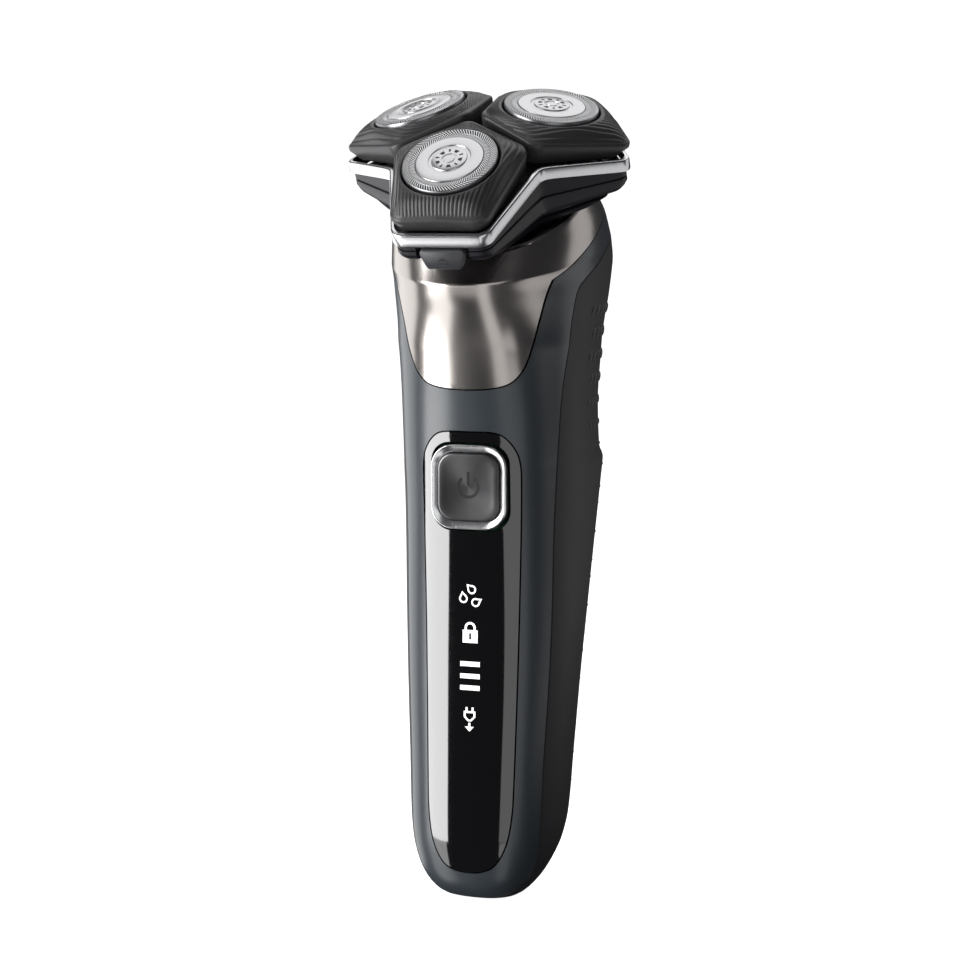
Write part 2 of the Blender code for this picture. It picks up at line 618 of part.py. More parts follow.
HINGE_PLACE = (Matrix.Translation(Vector((0, *HINGE)) * MM)
               @ Matrix.Rotation(math.radians(90), 4, "Y"))
for side, start, end in (("left", -5.0, -2.5), ("right", 2.5, 5.0)):
    arm = box(f"base_arm_{side}", (start, 16.6, -14.0), (end, HINGE[0], -11.9), parent=head_axis)
    knuckle = cylinder(f"base_knuckle_{side}", 1.6, start, end, None, head_axis, HINGE_PLACE, 16)
    cut(hair_chamber, arm, "UNION")
    cut(hair_chamber, knuckle, "UNION")
hinge_bore = cylinder("hinge_bore", 1.0, -9, 9, None, head_axis, HINGE_PLACE, 12)
cut(hair_chamber, hinge_bore)
cylinder("head_hinge_pin", 0.7, -5.0, 5.0, "steel", head_axis, HINGE_PLACE, 10)


# --- head holder: trim ring and retaining frame -------------------------------------------------
outer_outline = lobed(28.8, 9.7, 18.2)
inner_outline = lobed(28.0, 9.2, 17.4)
trim_ring = lofted("trim_ring", [
    arched(outer_outline, RING_LOW), arched(outer_outline, RING_TOP),
    arched(inner_outline, RING_TOP), arched(inner_outline, RING_LOW)],
    "silver_satin", head_axis, closed_ends=False)
cut(trim_ring, box("ring_arm", (-2.2, 16.9, -7.8), (2.2, 26.0, -6.4), parent=head_axis), "UNION")
cut(trim_ring, box("ring_leg", (-2.2, 23.4, -12.6), (2.2, 26.0, -6.6), parent=head_axis), "UNION")
cut(trim_ring, cylinder("ring_knuckle", 1.6, -2.2, 2.2, None, head_axis, HINGE_PLACE, 16), "UNION")
cut(trim_ring, hinge_bore)

frame_outline = lobed(23.7, 6.4, 15.0)
retaining_frame = lofted("retaining_frame", [
    arched(frame_outline, FRAME_LOW), arched(frame_outline, FRAME_TOP),
    round_ring(frame_outline, 2.0, FRAME_TOP - 0.3), round_ring(frame_outline, 2.0, FRAME_LOW - 0.3)],
    "grey_plastic", head_axis, closed_ends=False)


# --- gears and spindles -------------------------------------------------------------------------
GEAR_MODULE = 2 * SPINDLE_RADIUS / (2 * GEAR_TEETH)


def gear(name, phase, finish, matrix=None):
    """A spur gear between the two gear heights; teeth are thinner than half the pitch."""
    pitch_radius = GEAR_MODULE * GEAR_TEETH / 2
    root, tip = pitch_radius - 1.1 * GEAR_MODULE, pitch_radius + 0.75 * GEAR_MODULE
    turn = 2 * math.pi / GEAR_TEETH
    outline = []
    for i in range(GEAR_TEETH):
        middle = (i + phase) * turn
        for radius, share in ((root, -0.26), (tip, -0.11), (tip, 0.11), (root, 0.26)):
            angle = middle + share * turn
            outline.append((radius * math.cos(angle), radius * math.sin(angle)))
    rings = [level_ring(outline, height) for height in GEAR_HEIGHT]
    return lofted(name, rings, finish, head_axis, matrix)


central_gear = gear("central_gear", 0.0, "white_plastic")
cut(central_gear, cylinder("gear_hub", 3.9, -20.6, -15.8, parent=head_axis, sides=20), "UNION")
cut(central_gear, cylinder("gear_socket", 3.1, -24, -16.9, parent=head_axis, sides=6))

for label, azimuth in POD_AZIMUTHS.items():
    spot = spindle_place(azimuth)
    spindle = gear(f"spindle_{label}", 0.5, "white_plastic", spot)
    cut(spindle, cylinder(f"post_{label}", 1.4, -15.6, -6.8, None, head_axis, spot, 12), "UNION")
    cut(spindle, cylinder(f"post_tip_{label}", 1.1, -7.2, -4.9, None, head_axis, spot, 6), "UNION")


def coil(name, radius, wire, bottom, top, turns, finish, parent, matrix):
    """A round-wire compression spring round the local Z axis."""
    per_turn = 8
    count = turns * per_turn + 1
    curve = bpy.data.curves.new(name, "CURVE")
    curve.dimensions = "3D"
    curve.bevel_depth = wire * MM
    curve.bevel_resolution = 2
    curve.use_fill_caps = True
    spline = curve.splines.new("POLY")
    spline.points.add(count - 1)
    for i in range(count):
        angle = 2 * math.pi * i / per_turn
        height = bottom + (top - bottom) * i / (count - 1)
        spline.points[i].co = (radius * math.cos(angle) * MM, radius * math.sin(angle) * MM,
                               height * MM, 1)
    item = bpy.data.objects.new(name, curve)
    curve.materials.append(material(finish, *FINISHES[finish]))
    shaver.objects.link(item)
    item.parent = parent
    item.matrix_local = matrix


# --- the three shaving pods ------------------------------------------------------------------------
def pod_outline(label, shrink, reach=None):
    """The rounded five-sided outline of a pod, moved inwards."""
    outer, half = POD_OUTER[label]
    outer = reach or outer
    corners = ((outer, -half), (outer, half), POD_SIDE, (POD_APEX, 0.0), (POD_SIDE[0], -POD_SIDE[1]))
    return rounded(grown(corners, -shrink), POD_ROUNDING, steps=3, straight=4)


def pod_edge(point):
    """Height of the domed face's rim: lower on the outer side than at the inner apex."""
    x, y = point
    return -2.7 - 0.07 * x - 0.05 * abs(y)


for label, azimuth in POD_AZIMUTHS.items():
    place = (Matrix.Rotation(math.radians(azimuth), 4, "Z")
             @ Matrix.Translation(Vector((POD_RADIUS, 0, 0)) * MM)
             @ Matrix.Rotation(POD_TILT, 4, "Y"))
    pod = guide(f"pod_axis_{label}", place, head_axis)
    foot, rim = pod_outline(label, 0.9, FOOT_REACH[label]), pod_outline(label, 0.2)
    bezel = lofted(f"bezel_{label}", [level_ring(foot, BEZEL_FOOT),
                                      [Vector((*p, pod_edge(p))) for p in rim],
                                      round_ring(rim, 10.4, -0.7)], "bezel_plastic", pod)
    cut(bezel, cylinder(f"bezel_bore_{label}", 9.85, -9, 2, None, pod, None, 32))
    solid_of_revolution(f"guard_{label}", [
        (GUARD_RADIUS - 0.6, -0.5), (GUARD_RADIUS - 0.6, -4.6), (GUARD_RADIUS, -4.6),
        (GUARD_RADIUS, -0.5), (GUARD_RADIUS - 0.5, 0.0)], "steel", pod, sides=28)
    solid_of_revolution(f"cutter_{label}", [(2.1, -3.0), (2.1, -6.2), (3.1, -6.2), (3.1, -2.4),
                                            (8.3, -2.4), (8.3, -0.9), (7.2, -0.9), (7.2, -1.6)],
                        "dark_metal", pod, sides=18)
    ring_body(f"carrier_{label}", [(9.4, -6.9), (9.4, -5.0), (3.7, -5.0), (3.7, -6.9)],
              "grey_plastic", pod, sides=20)
    coil(f"spring_{label}", 2.6, 0.3, -13.2, -10.6, 3, "steel", head_axis, spindle_place(azimuth))
    cut(retaining_frame, cylinder(f"pod_hole_{label}", 6.5, -14, -2, None, pod, None, 24))
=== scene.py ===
import json
import math

import bmesh
import bpy
from mathutils import Matrix, Vector


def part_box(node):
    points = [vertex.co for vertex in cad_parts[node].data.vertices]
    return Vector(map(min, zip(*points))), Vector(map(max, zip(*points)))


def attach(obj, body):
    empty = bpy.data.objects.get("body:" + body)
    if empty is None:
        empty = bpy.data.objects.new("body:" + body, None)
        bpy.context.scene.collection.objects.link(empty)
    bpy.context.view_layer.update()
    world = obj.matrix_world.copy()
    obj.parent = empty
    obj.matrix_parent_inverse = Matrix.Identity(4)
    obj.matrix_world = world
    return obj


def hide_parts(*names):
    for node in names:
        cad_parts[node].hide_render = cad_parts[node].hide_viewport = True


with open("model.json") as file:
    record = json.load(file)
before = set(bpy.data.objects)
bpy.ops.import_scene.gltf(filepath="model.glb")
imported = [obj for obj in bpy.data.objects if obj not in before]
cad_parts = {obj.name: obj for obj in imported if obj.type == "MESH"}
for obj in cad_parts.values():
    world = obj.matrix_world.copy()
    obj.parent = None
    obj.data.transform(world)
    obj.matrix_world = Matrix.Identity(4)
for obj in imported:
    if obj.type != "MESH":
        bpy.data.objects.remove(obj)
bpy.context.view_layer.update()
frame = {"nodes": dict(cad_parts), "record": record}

# --- Studio: camera and pale sweep ----------------------------------------------------------------
# A long lens looks a little down on the shaver from its right. The paper sweep is a sheet that
# lies under it and curves up behind it.
MM = 0.001                     # lengths below are in millimetres, turned into metres by this

bpy.ops.object.select_all(action="DESELECT")
CAMERA_SPOT = (0.145316, -0.439268, 0.144203)
LOOKS_DOWN, STANDS_RIGHT = math.radians(7.053), math.radians(18.487)
bpy.ops.object.camera_add(location=CAMERA_SPOT,
                          rotation=(math.radians(90) - LOOKS_DOWN, 0, STANDS_RIGHT))
camera = bpy.context.object
camera.name = "product_camera"
camera.data.lens = 85
camera.data.sensor_width = 36
bpy.context.scene.camera = camera
bpy.context.scene.view_settings.view_transform = "Standard"


def plain_material(name, colour, roughness, metallic=0.0):
    """A Principled material whose sockets hold plain values, and its node tree and shader."""
    made = bpy.data.materials.new(name)
    made.use_nodes = True
    shader = made.node_tree.nodes["Principled BSDF"]
    shader.inputs["Base Color"].default_value = (*colour, 1.0)
    shader.inputs["Roughness"].default_value = roughness
    shader.inputs["Metallic"].default_value = metallic
    return made, made.node_tree, shader


FLOOR_FRONT, FLOOR_BACK, SWEEP_RADIUS, SWEEP_TOP, SWEEP_HALF = -1.6, 0.7, 0.5, 1.9, 2.2
bpy.ops.mesh.primitive_plane_add(size=1)
sweep = bpy.context.object
sweep.name = "paper_sweep"
profile = [(FLOOR_FRONT, 0.0)]
profile += [(FLOOR_BACK + SWEEP_RADIUS * math.sin(a), SWEEP_RADIUS * (1 - math.cos(a)))
            for a in [math.radians(4 * k) for k in range(23)]]
profile.append((FLOOR_BACK + SWEEP_RADIUS, SWEEP_TOP))
bm = bmesh.new()
rows = [[bm.verts.new((x, y, z)) for x in (-SWEEP_HALF, SWEEP_HALF)] for y, z in profile]
for low, high in zip(rows, rows[1:]):
    bm.faces.new((low[0], low[1], high[1], high[0]))
bm.to_mesh(sweep.data)
bm.free()
sweep.data.shade_smooth()
paper, tree, shader = plain_material("sweep_paper", (0.90, 0.90, 0.90), 0.9)
shader.inputs["Emission Color"].default_value = (1.0, 1.0, 1.0, 1.0)
shader.inputs["Emission Strength"].default_value = 0.97
clear = tree.nodes.new("ShaderNodeBsdfTransparent")
chosen = tree.nodes.new("ShaderNodeMixShader")
rays = tree.nodes.new("ShaderNodeLightPath")
tree.links.new(rays.outputs["Is Camera Ray"], chosen.inputs[0])
tree.links.new(clear.outputs["BSDF"], chosen.inputs[1])
tree.links.new(shader.outputs["BSDF"], chosen.inputs[2])
tree.links.new(chosen.outputs["Shader"], tree.nodes["Material Output"].inputs["Surface"])
sweep.data.materials.append(paper)

# --- Handle wall ----------------------------------------------------------------------------------
# The handle is a moulded two-part housing with a metal sleeve at the top. All its outer parts lie
# on one smooth form, so one closed wall is lofted here and each part is cut from a copy of it.
# A station is (front y, front z, back y, back z, half width); sections are superellipses.
STATIONS = (
    (-6.0, 0.4, 2.0, 0.4, 4.5), (-9.2, 1.3, 5.0, 1.7, 8.4), (-11.2, 3.4, 8.6, 4.2, 11.2),
    (-12.3, 6.8, 12.2, 8.4, 13.6), (-12.6, 11.6, 15.0, 12.4, 15.2), (-12.4, 17.0, 16.9, 17.0, 16.0),
    (-11.8, 30.0, 19.0, 30.0, 16.7), (-11.2, 45.0, 21.4, 45.0, 17.5), (-10.9, 61.5, 25.8, 61.5, 18.3),
    (-11.0, 74.5, 30.2, 74.5, 18.8), (-11.4, 86.5, 34.2, 86.5, 19.3), (-11.7, 90.3, 35.2, 90.3, 19.5),
    (-11.9, 92.8, 32.4, 92.8, 19.3), (-13.0, 102.5, 31.3, 102.5, 19.4), (-14.6, 111.0, 33.4, 112.0, 19.8),
    (-16.2, 117.5, 34.9, 120.5, 20.4), (-17.6, 121.5, 36.0, 127.5, 21.1), (-19.0, 124.8, 36.0, 133.6, 21.6),
    (-20.0, 127.6, 32.4, 139.6, 21.8), (-18.9, 129.8, 26.5, 145.5, 21.4), (-17.2, 133.5, 17.9, 151.4, 19.7),
)
CREASE = 18                    # the station where the collar's wall folds inwards
SQUARENESS, SQUARE_SPAN = (2.6, 2.2), (88.0, 124.0)
EGG, EGG_SPAN = 0.2, (115.0, 130.0)
WALL = 1.8
AROUND = 144                   # points round a section
HEAD_TILT = math.radians(27)
HEAD_CENTRE = Vector((0, -8.8, 159.2))
HEAD_NORMAL = Vector((0, -math.sin(HEAD_TILT), math.cos(HEAD_TILT)))


def share_of(value, span):
    """How far a value lies along a span, from 0 to 1."""
    return min(1.0, max(0.0, (value - span[0]) / (span[1] - span[0])))


def section(station, inset=0.0, lift=0.0):
    """One closed section of the handle, moved inwards by the inset."""
    front_y, front_z, back_y, back_z, half_width = station
    front, back = Vector((0, front_y, front_z + lift)), Vector((0, back_y, back_z + lift))
    along = (back - front).normalized()
    depth, width = (back - front).length / 2 - inset, half_width - inset
    power = SQUARENESS[0] + (SQUARENESS[1] - SQUARENESS[0]) * share_of(front_z, SQUARE_SPAN)
    egg = EGG * share_of(front_z, EGG_SPAN)
    ring = []
    for i in range(AROUND):
        c, s = math.cos(2 * math.pi * i / AROUND), math.sin(2 * math.pi * i / AROUND)
        x = width * math.copysign(abs(c) ** (2 / power), c)
        v = depth * (math.copysign(abs(s) ** (2 / power), s) + egg * (x / width) ** 2)
        ring.append((front + back) / 2 + Vector((x, 0, 0)) + along * v)
    return ring


def tangents(places, values):
    """Slopes of a smooth curve through the values that never runs past them."""
    runs = [(b - a) / (t - s) for s, t, a, b in zip(places, places[1:], values, values[1:])]
    inner = [2 * p * q / (p + q) if p * q > 0 else 0.0 for p, q in zip(runs, runs[1:])]
    return [runs[0], *inner, runs[-1]]


def between(stations, spacing):
    """Stations filled in along smooth curves, as (index, station), about a spacing apart."""
    middles = [Vector(((s[0] + s[2]) / 2, (s[1] + s[3]) / 2, s[4])) for s in stations]
    places = [0.0]
    for a, b in zip(middles, middles[1:]):
        places.append(places[-1] + (b - a).length)
    slopes = [tangents(places, values) for values in zip(*stations)]
    filled = []
    for k in range(len(stations) - 1):
        run = places[k + 1] - places[k]
        count = max(2, round(run / spacing))
        for step in range(count):
            t = step / count
            blend = ((1 + 2 * t) * (1 - t) ** 2, t * (1 - t) ** 2 * run,
                     t * t * (3 - 2 * t), t * t * (t - 1) * run)
            station = [blend[0] * stations[k][j] + blend[1] * slopes[j][k]
                       + blend[2] * stations[k + 1][j] + blend[3] * slopes[j][k + 1] for j in range(5)]
            filled.append((k + t, station))
    filled.append((len(stations) - 1, list(stations[-1])))
    return filled


def skin(bm, rings, hollow):
    """Join closed rings of equal length; a hollow skin joins its last ring to its first."""
    loops = [[bm.verts.new(point) for point in ring] for ring in rings]
    pairs = list(zip(loops, loops[1:]))
    if hollow:
        pairs.append((loops[-1], loops[0]))
    for low, high in pairs:
        for i in range(len(low)):
            j = (i + 1) % len(low)
            bm.faces.new((low[i], low[j], high[j], high[i]))
    if not hollow:
        bm.faces.new(loops[0])
        bm.faces.new(loops[-1])


def solid(name, bm, place=None, unit=MM):
    """An object from a bmesh in millimetres, set in its place with its faces turned outwards."""
    bmesh.ops.recalc_face_normals(bm, faces=bm.faces[:])
    bmesh.ops.scale(bm, vec=(unit, unit, unit), verts=bm.verts[:])
    if place is not None:
        bmesh.ops.transform(bm, matrix=place, verts=bm.verts[:])
    mesh = bpy.data.meshes.new(name)
    bm.to_mesh(mesh)
    bm.free()
    item = bpy.data.objects.new(name, mesh)
    bpy.context.scene.collection.objects.link(item)
    return item


def lofted(name, rings, place=None, hollow=False, sharp=32):
    """A closed lofted body; its rings are in millimetres, in the frame of a placing matrix."""
    bm = bmesh.new()
    skin(bm, rings, hollow)
    item = solid(name, bm, place)
    item.data.shade_smooth()
    item.data.set_sharp_from_angle(angle=math.radians(sharp))
    return item


RIM_CHAMFER = 0.35
outer = [section(s) for _, s in between(STATIONS[:CREASE + 1], 1.1)[:-1]]
fold = [section(s) for _, s in between(STATIONS[CREASE:], 0.9)]
crease_low = [a.lerp(b, 0.2) for a, b in zip(fold[0], outer[-1])]
crease_high = [a.lerp(b, 0.25) for a, b in zip(fold[0], fold[1])]
crease_top = [(a * 2 + b + c) / 4 for a, b, c in zip(fold[0], crease_low, crease_high)]
rim_low = [point - HEAD_NORMAL * RIM_CHAMFER for point in fold[-1]]
rim_in = section(STATIONS[-1], RIM_CHAMFER)
LIFTED = 5                     # the inner wall's first stations rise with the floor of the foot
inner = [section(s, WALL, WALL * max(0, 1 - k / LIFTED)) for k, s in between(STATIONS, 5)]
handle_wall = lofted("handle_wall", outer + [crease_low, crease_top, crease_high] + fold[1:-1]
                     + [rim_low, rim_in] + inner[::-1])


def smooth_line(points, parts=8):
    """A smooth open line through points of a plane."""
    points = [Vector(p) for p in points]
    padded = [points[0] * 2 - points[1], *points, points[-1] * 2 - points[-2]]
    line = []
    for a, b, c, d in zip(padded, padded[1:], padded[2:], padded[3:]):
        for step in range(parts):
            t = step / parts
            line.append(0.5 * (2 * b + (c - a) * t + (2 * a - 5 * b + 4 * c - d) * t * t
                               + (3 * b - a - 3 * c + d) * t ** 3))
    return [*line, points[-1]]


def shifted(line, amount):
    """A line moved sideways, to the right of its direction."""
    moved = []
    for i, here in enumerate(line):
        ahead = line[min(i + 1, len(line) - 1)] - line[max(i - 1, 0)]
        moved.append(here + Vector((ahead.y, -ahead.x)).normalized() * amount)
    return moved


def mirrored(half):
    """A whole outline from its right half, which starts and ends on the middle line."""
    return [Vector(p) for p in half] + [Vector((-p[0], p[1])) for p in reversed(half) if abs(p[0]) > 1e-6]


def prism(name, outline, start, end, along="y"):
    """A closed body: an outline in (x, z) swept along Y, or one in (y, z) swept along X."""
    def spot(p, depth):
        return Vector((p[0], depth, p[1])) if along == "y" else Vector((depth, p[0], p[1]))
    return lofted(name, [[spot(p, start) for p in outline], [spot(p, end) for p in outline]])


def copy_of(source, name):
    """A copy of an object, with a mesh of its own."""
    item = source.copy()
    item.data = source.data.copy()
    item.name = name
    bpy.context.scene.collection.objects.link(item)
    return item


def only(item):
    """Make one object the whole selection and the active one."""
    bpy.ops.object.select_all(action="DESELECT")
    item.select_set(True)
    bpy.context.view_layer.objects.active = item


def shape(item, tool, operation="DIFFERENCE", keep_tool=False):
    """Apply a Boolean of a tool to an object, and clear the tool away."""
    only(item)
    step = item.modifiers.new("boolean", "BOOLEAN")
    step.operation = operation
    step.solver = "MANIFOLD"
    step.object = tool
    bpy.ops.object.modifier_apply(modifier=step.name)
    if not keep_tool:
        bpy.data.objects.remove(tool)
    return item


def dressed(item, name, body, slot, finish, *nodes, sharp=None):
    """Name a finished piece, give it its finish, and tie it to its body and CAD nodes; the slot is not used.
    """
    item.name = name
    item.data.name = name
    item.data.materials.clear()
    item.data.materials.append(finish)
    if sharp:
        item.data.shade_smooth()
        item.data.set_sharp_from_angle(angle=math.radians(sharp))
    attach(item, body)
    if nodes:
        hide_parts(*nodes)
    return item


SIDE, FAR, TALL = 40, 70, 190  # distances clear of the handle
HALF_GAP = 0.15
# Side view (y, z) of the joint between shell and grip, from the back down to the foot.
SEAM = smooth_line((
    (60, 140), (33, 139), (22, 137.6), (14, 134.9), (7, 131.4), (1.5, 128.5), (-1.2, 126.2),
    (-2.1, 122), (-2.9, 114.5), (-4.0, 103.5), (-4.4, 82), (-5.0, 55), (-6.6, 27), (-7.1, 14),
    (-7.3, 6), (-8.6, 3.6), (-9.2, -4)))
COLLAR = smooth_line((
    (0, 106.6), (4.3, 106.8), (8.1, 107.6), (10.3, 109.2), (11.8, 111.6), (13.1, 115.4),
    (14.3, 120.4), (15.8, 126.2), (17.3, 129.9), (18.8, 132), (20.4, 134.4), (23, 137)))
COLLAR_BAND = (133.8, 0.60)    # above this height at y = 0, this slope, it runs round sides and back


def collar_room(name, grow):
    """The space of the metal collar: a front apron joined to a sloping band."""
    edge = [Vector((0, 106.6 - grow)), *shifted(COLLAR, grow)[1:], Vector((24, 145)), Vector((0, 145))]
    level, slope = COLLAR_BAND
    band = [(y, level - grow + slope * y) for y in (-FAR, FAR)] + [(FAR, TALL), (-FAR, TALL)]
    apron = prism(name, mirrored(edge), -FAR, 0)
    return shape(apron, prism("band", band, -SIDE, SIDE, "x"), "UNION")


# --- Finishes: two shared effects -----------------------------------------------------------------
# Grain is the fine irregular skin of moulded plastic and rubber, with a slow drift of sheen from
# handling. Brushing is the run of parallel scratches on ground and brushed metal.


def new_group(name, inputs, outputs):
    """A shader group with number sockets, and its input and output nodes."""
    group = bpy.data.node_groups.new(name, "ShaderNodeTree")
    for label, value in inputs:
        socket = group.interface.new_socket(label, in_out="INPUT", socket_type="NodeSocketFloat")
        socket.default_value = value
    for label in outputs:
        group.interface.new_socket(label, in_out="OUTPUT", socket_type="NodeSocketFloat")
    return group, group.nodes.new("NodeGroupInput"), group.nodes.new("NodeGroupOutput")


def maths(tree, operation, a, b=0.0, c=0.0):
    """A Math node; each argument is a socket or a number."""
    node = tree.nodes.new("ShaderNodeMath")
    node.operation = operation
    for socket, value in zip(node.inputs, (a, b, c)):
        if isinstance(value, (int, float)):
            socket.default_value = value
        else:
            tree.links.new(value, socket)
    return node.outputs[0]


def noise(tree, vector, scale, detail=2.0, roughness=0.5):
    """The value of a noise texture; its scale is a socket or a number."""
    node = tree.nodes.new("ShaderNodeTexNoise")
    node.inputs["Detail"].default_value = detail
    node.inputs["Roughness"].default_value = roughness
    if isinstance(scale, (int, float)):
        node.inputs["Scale"].default_value = scale
    else:
        tree.links.new(scale, node.inputs["Scale"])
    tree.links.new(vector, node.inputs["Vector"])
    return node.outputs["Fac"]


grain_group, group_in, group_out = new_group(
    "moulded_grain", (("Scale", 4000.0), ("Drift scale", 60.0)), ("Height", "Drift"))
coordinates = grain_group.nodes.new("ShaderNodeTexCoord").outputs["Object"]
fine = noise(grain_group, coordinates, group_in.outputs["Scale"], 3.0, 0.6)
drift = noise(grain_group, coordinates, group_in.outputs["Drift scale"], 2.0)
grain_group.links.new(fine, group_out.inputs["Height"])
grain_group.links.new(drift, group_out.inputs["Drift"])

brush_group, group_in, group_out = new_group(
    "brushed_lines", (("Across x", 9000.0), ("Across y", 9000.0), ("Along z", 60.0)), ("Height", "Drift"))
coordinates = brush_group.nodes.new("ShaderNodeTexCoord").outputs["Object"]
stretch = brush_group.nodes.new("ShaderNodeCombineXYZ")
for label, socket in zip(("Across x", "Across y", "Along z"), stretch.inputs):
    brush_group.links.new(group_in.outputs[label], socket)
scaled = brush_group.nodes.new("ShaderNodeVectorMath")
scaled.operation = "MULTIPLY"
brush_group.links.new(coordinates, scaled.inputs[0])
brush_group.links.new(stretch.outputs[0], scaled.inputs[1])
lines = noise(brush_group, scaled.outputs[0], 1.0, 3.0, 0.7)
brush_group.links.new(lines, group_out.inputs["Height"])
brush_group.links.new(noise(brush_group, coordinates, 45.0), group_out.inputs["Drift"])


def textured(name, group, settings, colour, darker, roughness, bump, metallic=0.0):
    """A finish: an effect group varies the colour and roughness a little and raises the surface.

    The colour runs from darker to colour, the roughness over a (smooth, rough) pair, and bump is
    the height of the relief in millimetres.
    """
    made, tree, shader = plain_material(name, colour, roughness[0], metallic)
    effect = tree.nodes.new("ShaderNodeGroup")
    effect.node_tree = group
    for label, value in settings:
        effect.inputs[label].default_value = value
    mix = tree.nodes.new("ShaderNodeMix")
    mix.data_type = "RGBA"
    mix.inputs["A"].default_value = (*darker, 1)
    mix.inputs["B"].default_value = (*colour, 1)
    shade = maths(tree, "MULTIPLY_ADD", effect.outputs["Height"], 0.5,
                  maths(tree, "MULTIPLY", effect.outputs["Drift"], 0.5))
    tree.links.new(shade, mix.inputs["Factor"])
    tree.links.new(mix.outputs["Result"], shader.inputs["Base Color"])
    tree.links.new(maths(tree, "MULTIPLY_ADD", effect.outputs["Drift"], roughness[1] - roughness[0],
                         roughness[0]), shader.inputs["Roughness"])
    relief = tree.nodes.new("ShaderNodeBump")
    relief.inputs["Distance"].default_value = bump * MM
    relief.inputs["Strength"].default_value = 1.0
    tree.links.new(effect.outputs["Height"], relief.inputs["Height"])
    tree.links.new(relief.outputs["Normal"], shader.inputs["Normal"])
    return made


def moulded(name, grain, drift, colour, darker, roughness, bump, metallic=0.0):
    """A grained finish; grain and drift are the scales of its skin and of its slow change."""
    return textured(name, grain_group, (("Scale", grain), ("Drift scale", drift)),
                    colour, darker, roughness, bump, metallic)


def brushed(name, scales, colour, darker, roughness, bump):
    """A brushed metal; its scratches are long where a scale is small."""
    settings = zip(("Across x", "Across y", "Along z"), scales)
    return textured(name, brush_group, settings, colour, darker, roughness, bump, metallic=1.0)


def tuned(finish, settings):
    """A finish with more of its shader's sockets set."""
    for socket, value in settings.items():
        finish.node_tree.nodes["Principled BSDF"].inputs[socket].default_value = value
    return finish


# --- Front shell ----------------------------------------------------------------------------------
# The front half of the handle's housing: moulded ABS under a satin slate-blue lacquer. It is held
# to the grip by hidden hooks and leaves a hairline joint all round.
PANEL = smooth_line((
    (0, 98.1), (4.2, 98.1), (7.0, 97.4), (9.2, 95.0), (10.3, 91.6), (10.4, 85), (10.0, 62),
    (9.3, 28), (8.9, 19), (7.8, 13.2), (5.6, 9.2), (3.0, 7.7), (0, 7.3)))
slate = moulded("slate_lacquer", 2600, 35,
                (0.038, 0.047, 0.056), (0.033, 0.041, 0.049), (0.28, 0.34), 0.002)
tuned(slate, {"Specular IOR Level": 0.65, "Coat Weight": 0.15, "Coat Roughness": 0.2})


def seam_side(name, amount, back):
    """Everything on one side of the joint between shell and grip, up to a shifted seam."""
    line = shifted(SEAM, amount)
    corners = [Vector((FAR, -4))] if back else [Vector((-FAR, -4)), Vector((-FAR, TALL)), Vector((FAR, TALL))]
    return prism(name, line + corners, -SIDE, SIDE, "x")


front_shell = copy_of(handle_wall, "front_shell_look")
shape(front_shell, seam_side("behind_seam", HALF_GAP, True))
shape(front_shell, collar_room("collar_gap", HALF_GAP))
shape(front_shell, prism("panel_gap", mirrored(shifted(PANEL, -HALF_GAP)), -FAR, 0))
dressed(front_shell, "shell_front", "handle", "slate_shell", slate, "front_shell", sharp=38)

# --- Rear grip ------------------------------------------------------------------------------------
# The back of the handle: a soft-touch rubber moulding with a finger ledge. Rows of small slanted
# ridges above the ledge and pips below it are moulded with it and give the hold.
rubber = moulded("grip_rubber", 3500, 50, (0.030, 0.027, 0.031), (0.022, 0.020, 0.023), (0.5, 0.6), 0.006)
grip = copy_of(handle_wall, "grip_look")
shape(grip, seam_side("ahead_of_seam", -HALF_GAP, False))
shape(grip, collar_room("collar_gap", HALF_GAP))


def block(name, low, high, place=None, bevel=0.0, segments=3):
    """A block between two corners in millimetres, with rounded edges."""
    middle = [(a + b) / 2 * MM for a, b in zip(low, high)]
    size = [(b - a) * MM for a, b in zip(low, high)]
    bpy.ops.object.select_all(action="DESELECT")
    bpy.ops.mesh.primitive_cube_add(size=1, location=middle, scale=size)
    item = bpy.context.object
    item.name = name
    bpy.ops.object.transform_apply(location=True, rotation=True, scale=True)
    if bevel:
        step = item.modifiers.new("round_edges", "BEVEL")
        step.width = bevel * MM
        step.segments = segments
        bpy.ops.object.modifier_apply(modifier=step.name)
    if place is not None:
        item.data.transform(place)
    return item


bay_low, bay_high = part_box("trimmer_bay")
OPENING_CLEAR, BAY_FLOOR_Y, BAY_FOOT, BAY_HEAD = 0.7, 27.4, 93.9, 124.4
shape(grip, block("trimmer_room", (bay_low.x / MM - OPENING_CLEAR, BAY_FLOOR_Y, BAY_FOOT),
                  (bay_high.x / MM + OPENING_CLEAR, FAR, BAY_HEAD)))
slide_low, slide_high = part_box("trimmer_slide")
SLIDE_TRAVEL, SLIDE_HALF, SLIDE_FLOOR_Y = 2.5, 4.9, 24
CLEAR = 0.3                    # the gap round a key or a plug-in block
shape(grip, block("slide_room", (-SLIDE_HALF, SLIDE_FLOOR_Y, slide_low.z / MM - SLIDE_TRAVEL - CLEAR),
                  (SLIDE_HALF, FAR, slide_high.z / MM + CLEAR)))
socket_low, socket_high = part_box("charge_socket")
FOOT_WALL = (-2, 4)            # heights that span the wall under the socket
shape(grip, block("socket_room", (socket_low.x / MM - CLEAR, socket_low.y / MM - CLEAR, FOOT_WALL[0]),
                  (socket_high.x / MM + CLEAR, socket_high.y / MM + CLEAR, FOOT_WALL[1])))
dressed(grip, "grip_rear", "handle", "black_rubber", rubber, "rear_grip", sharp=38)


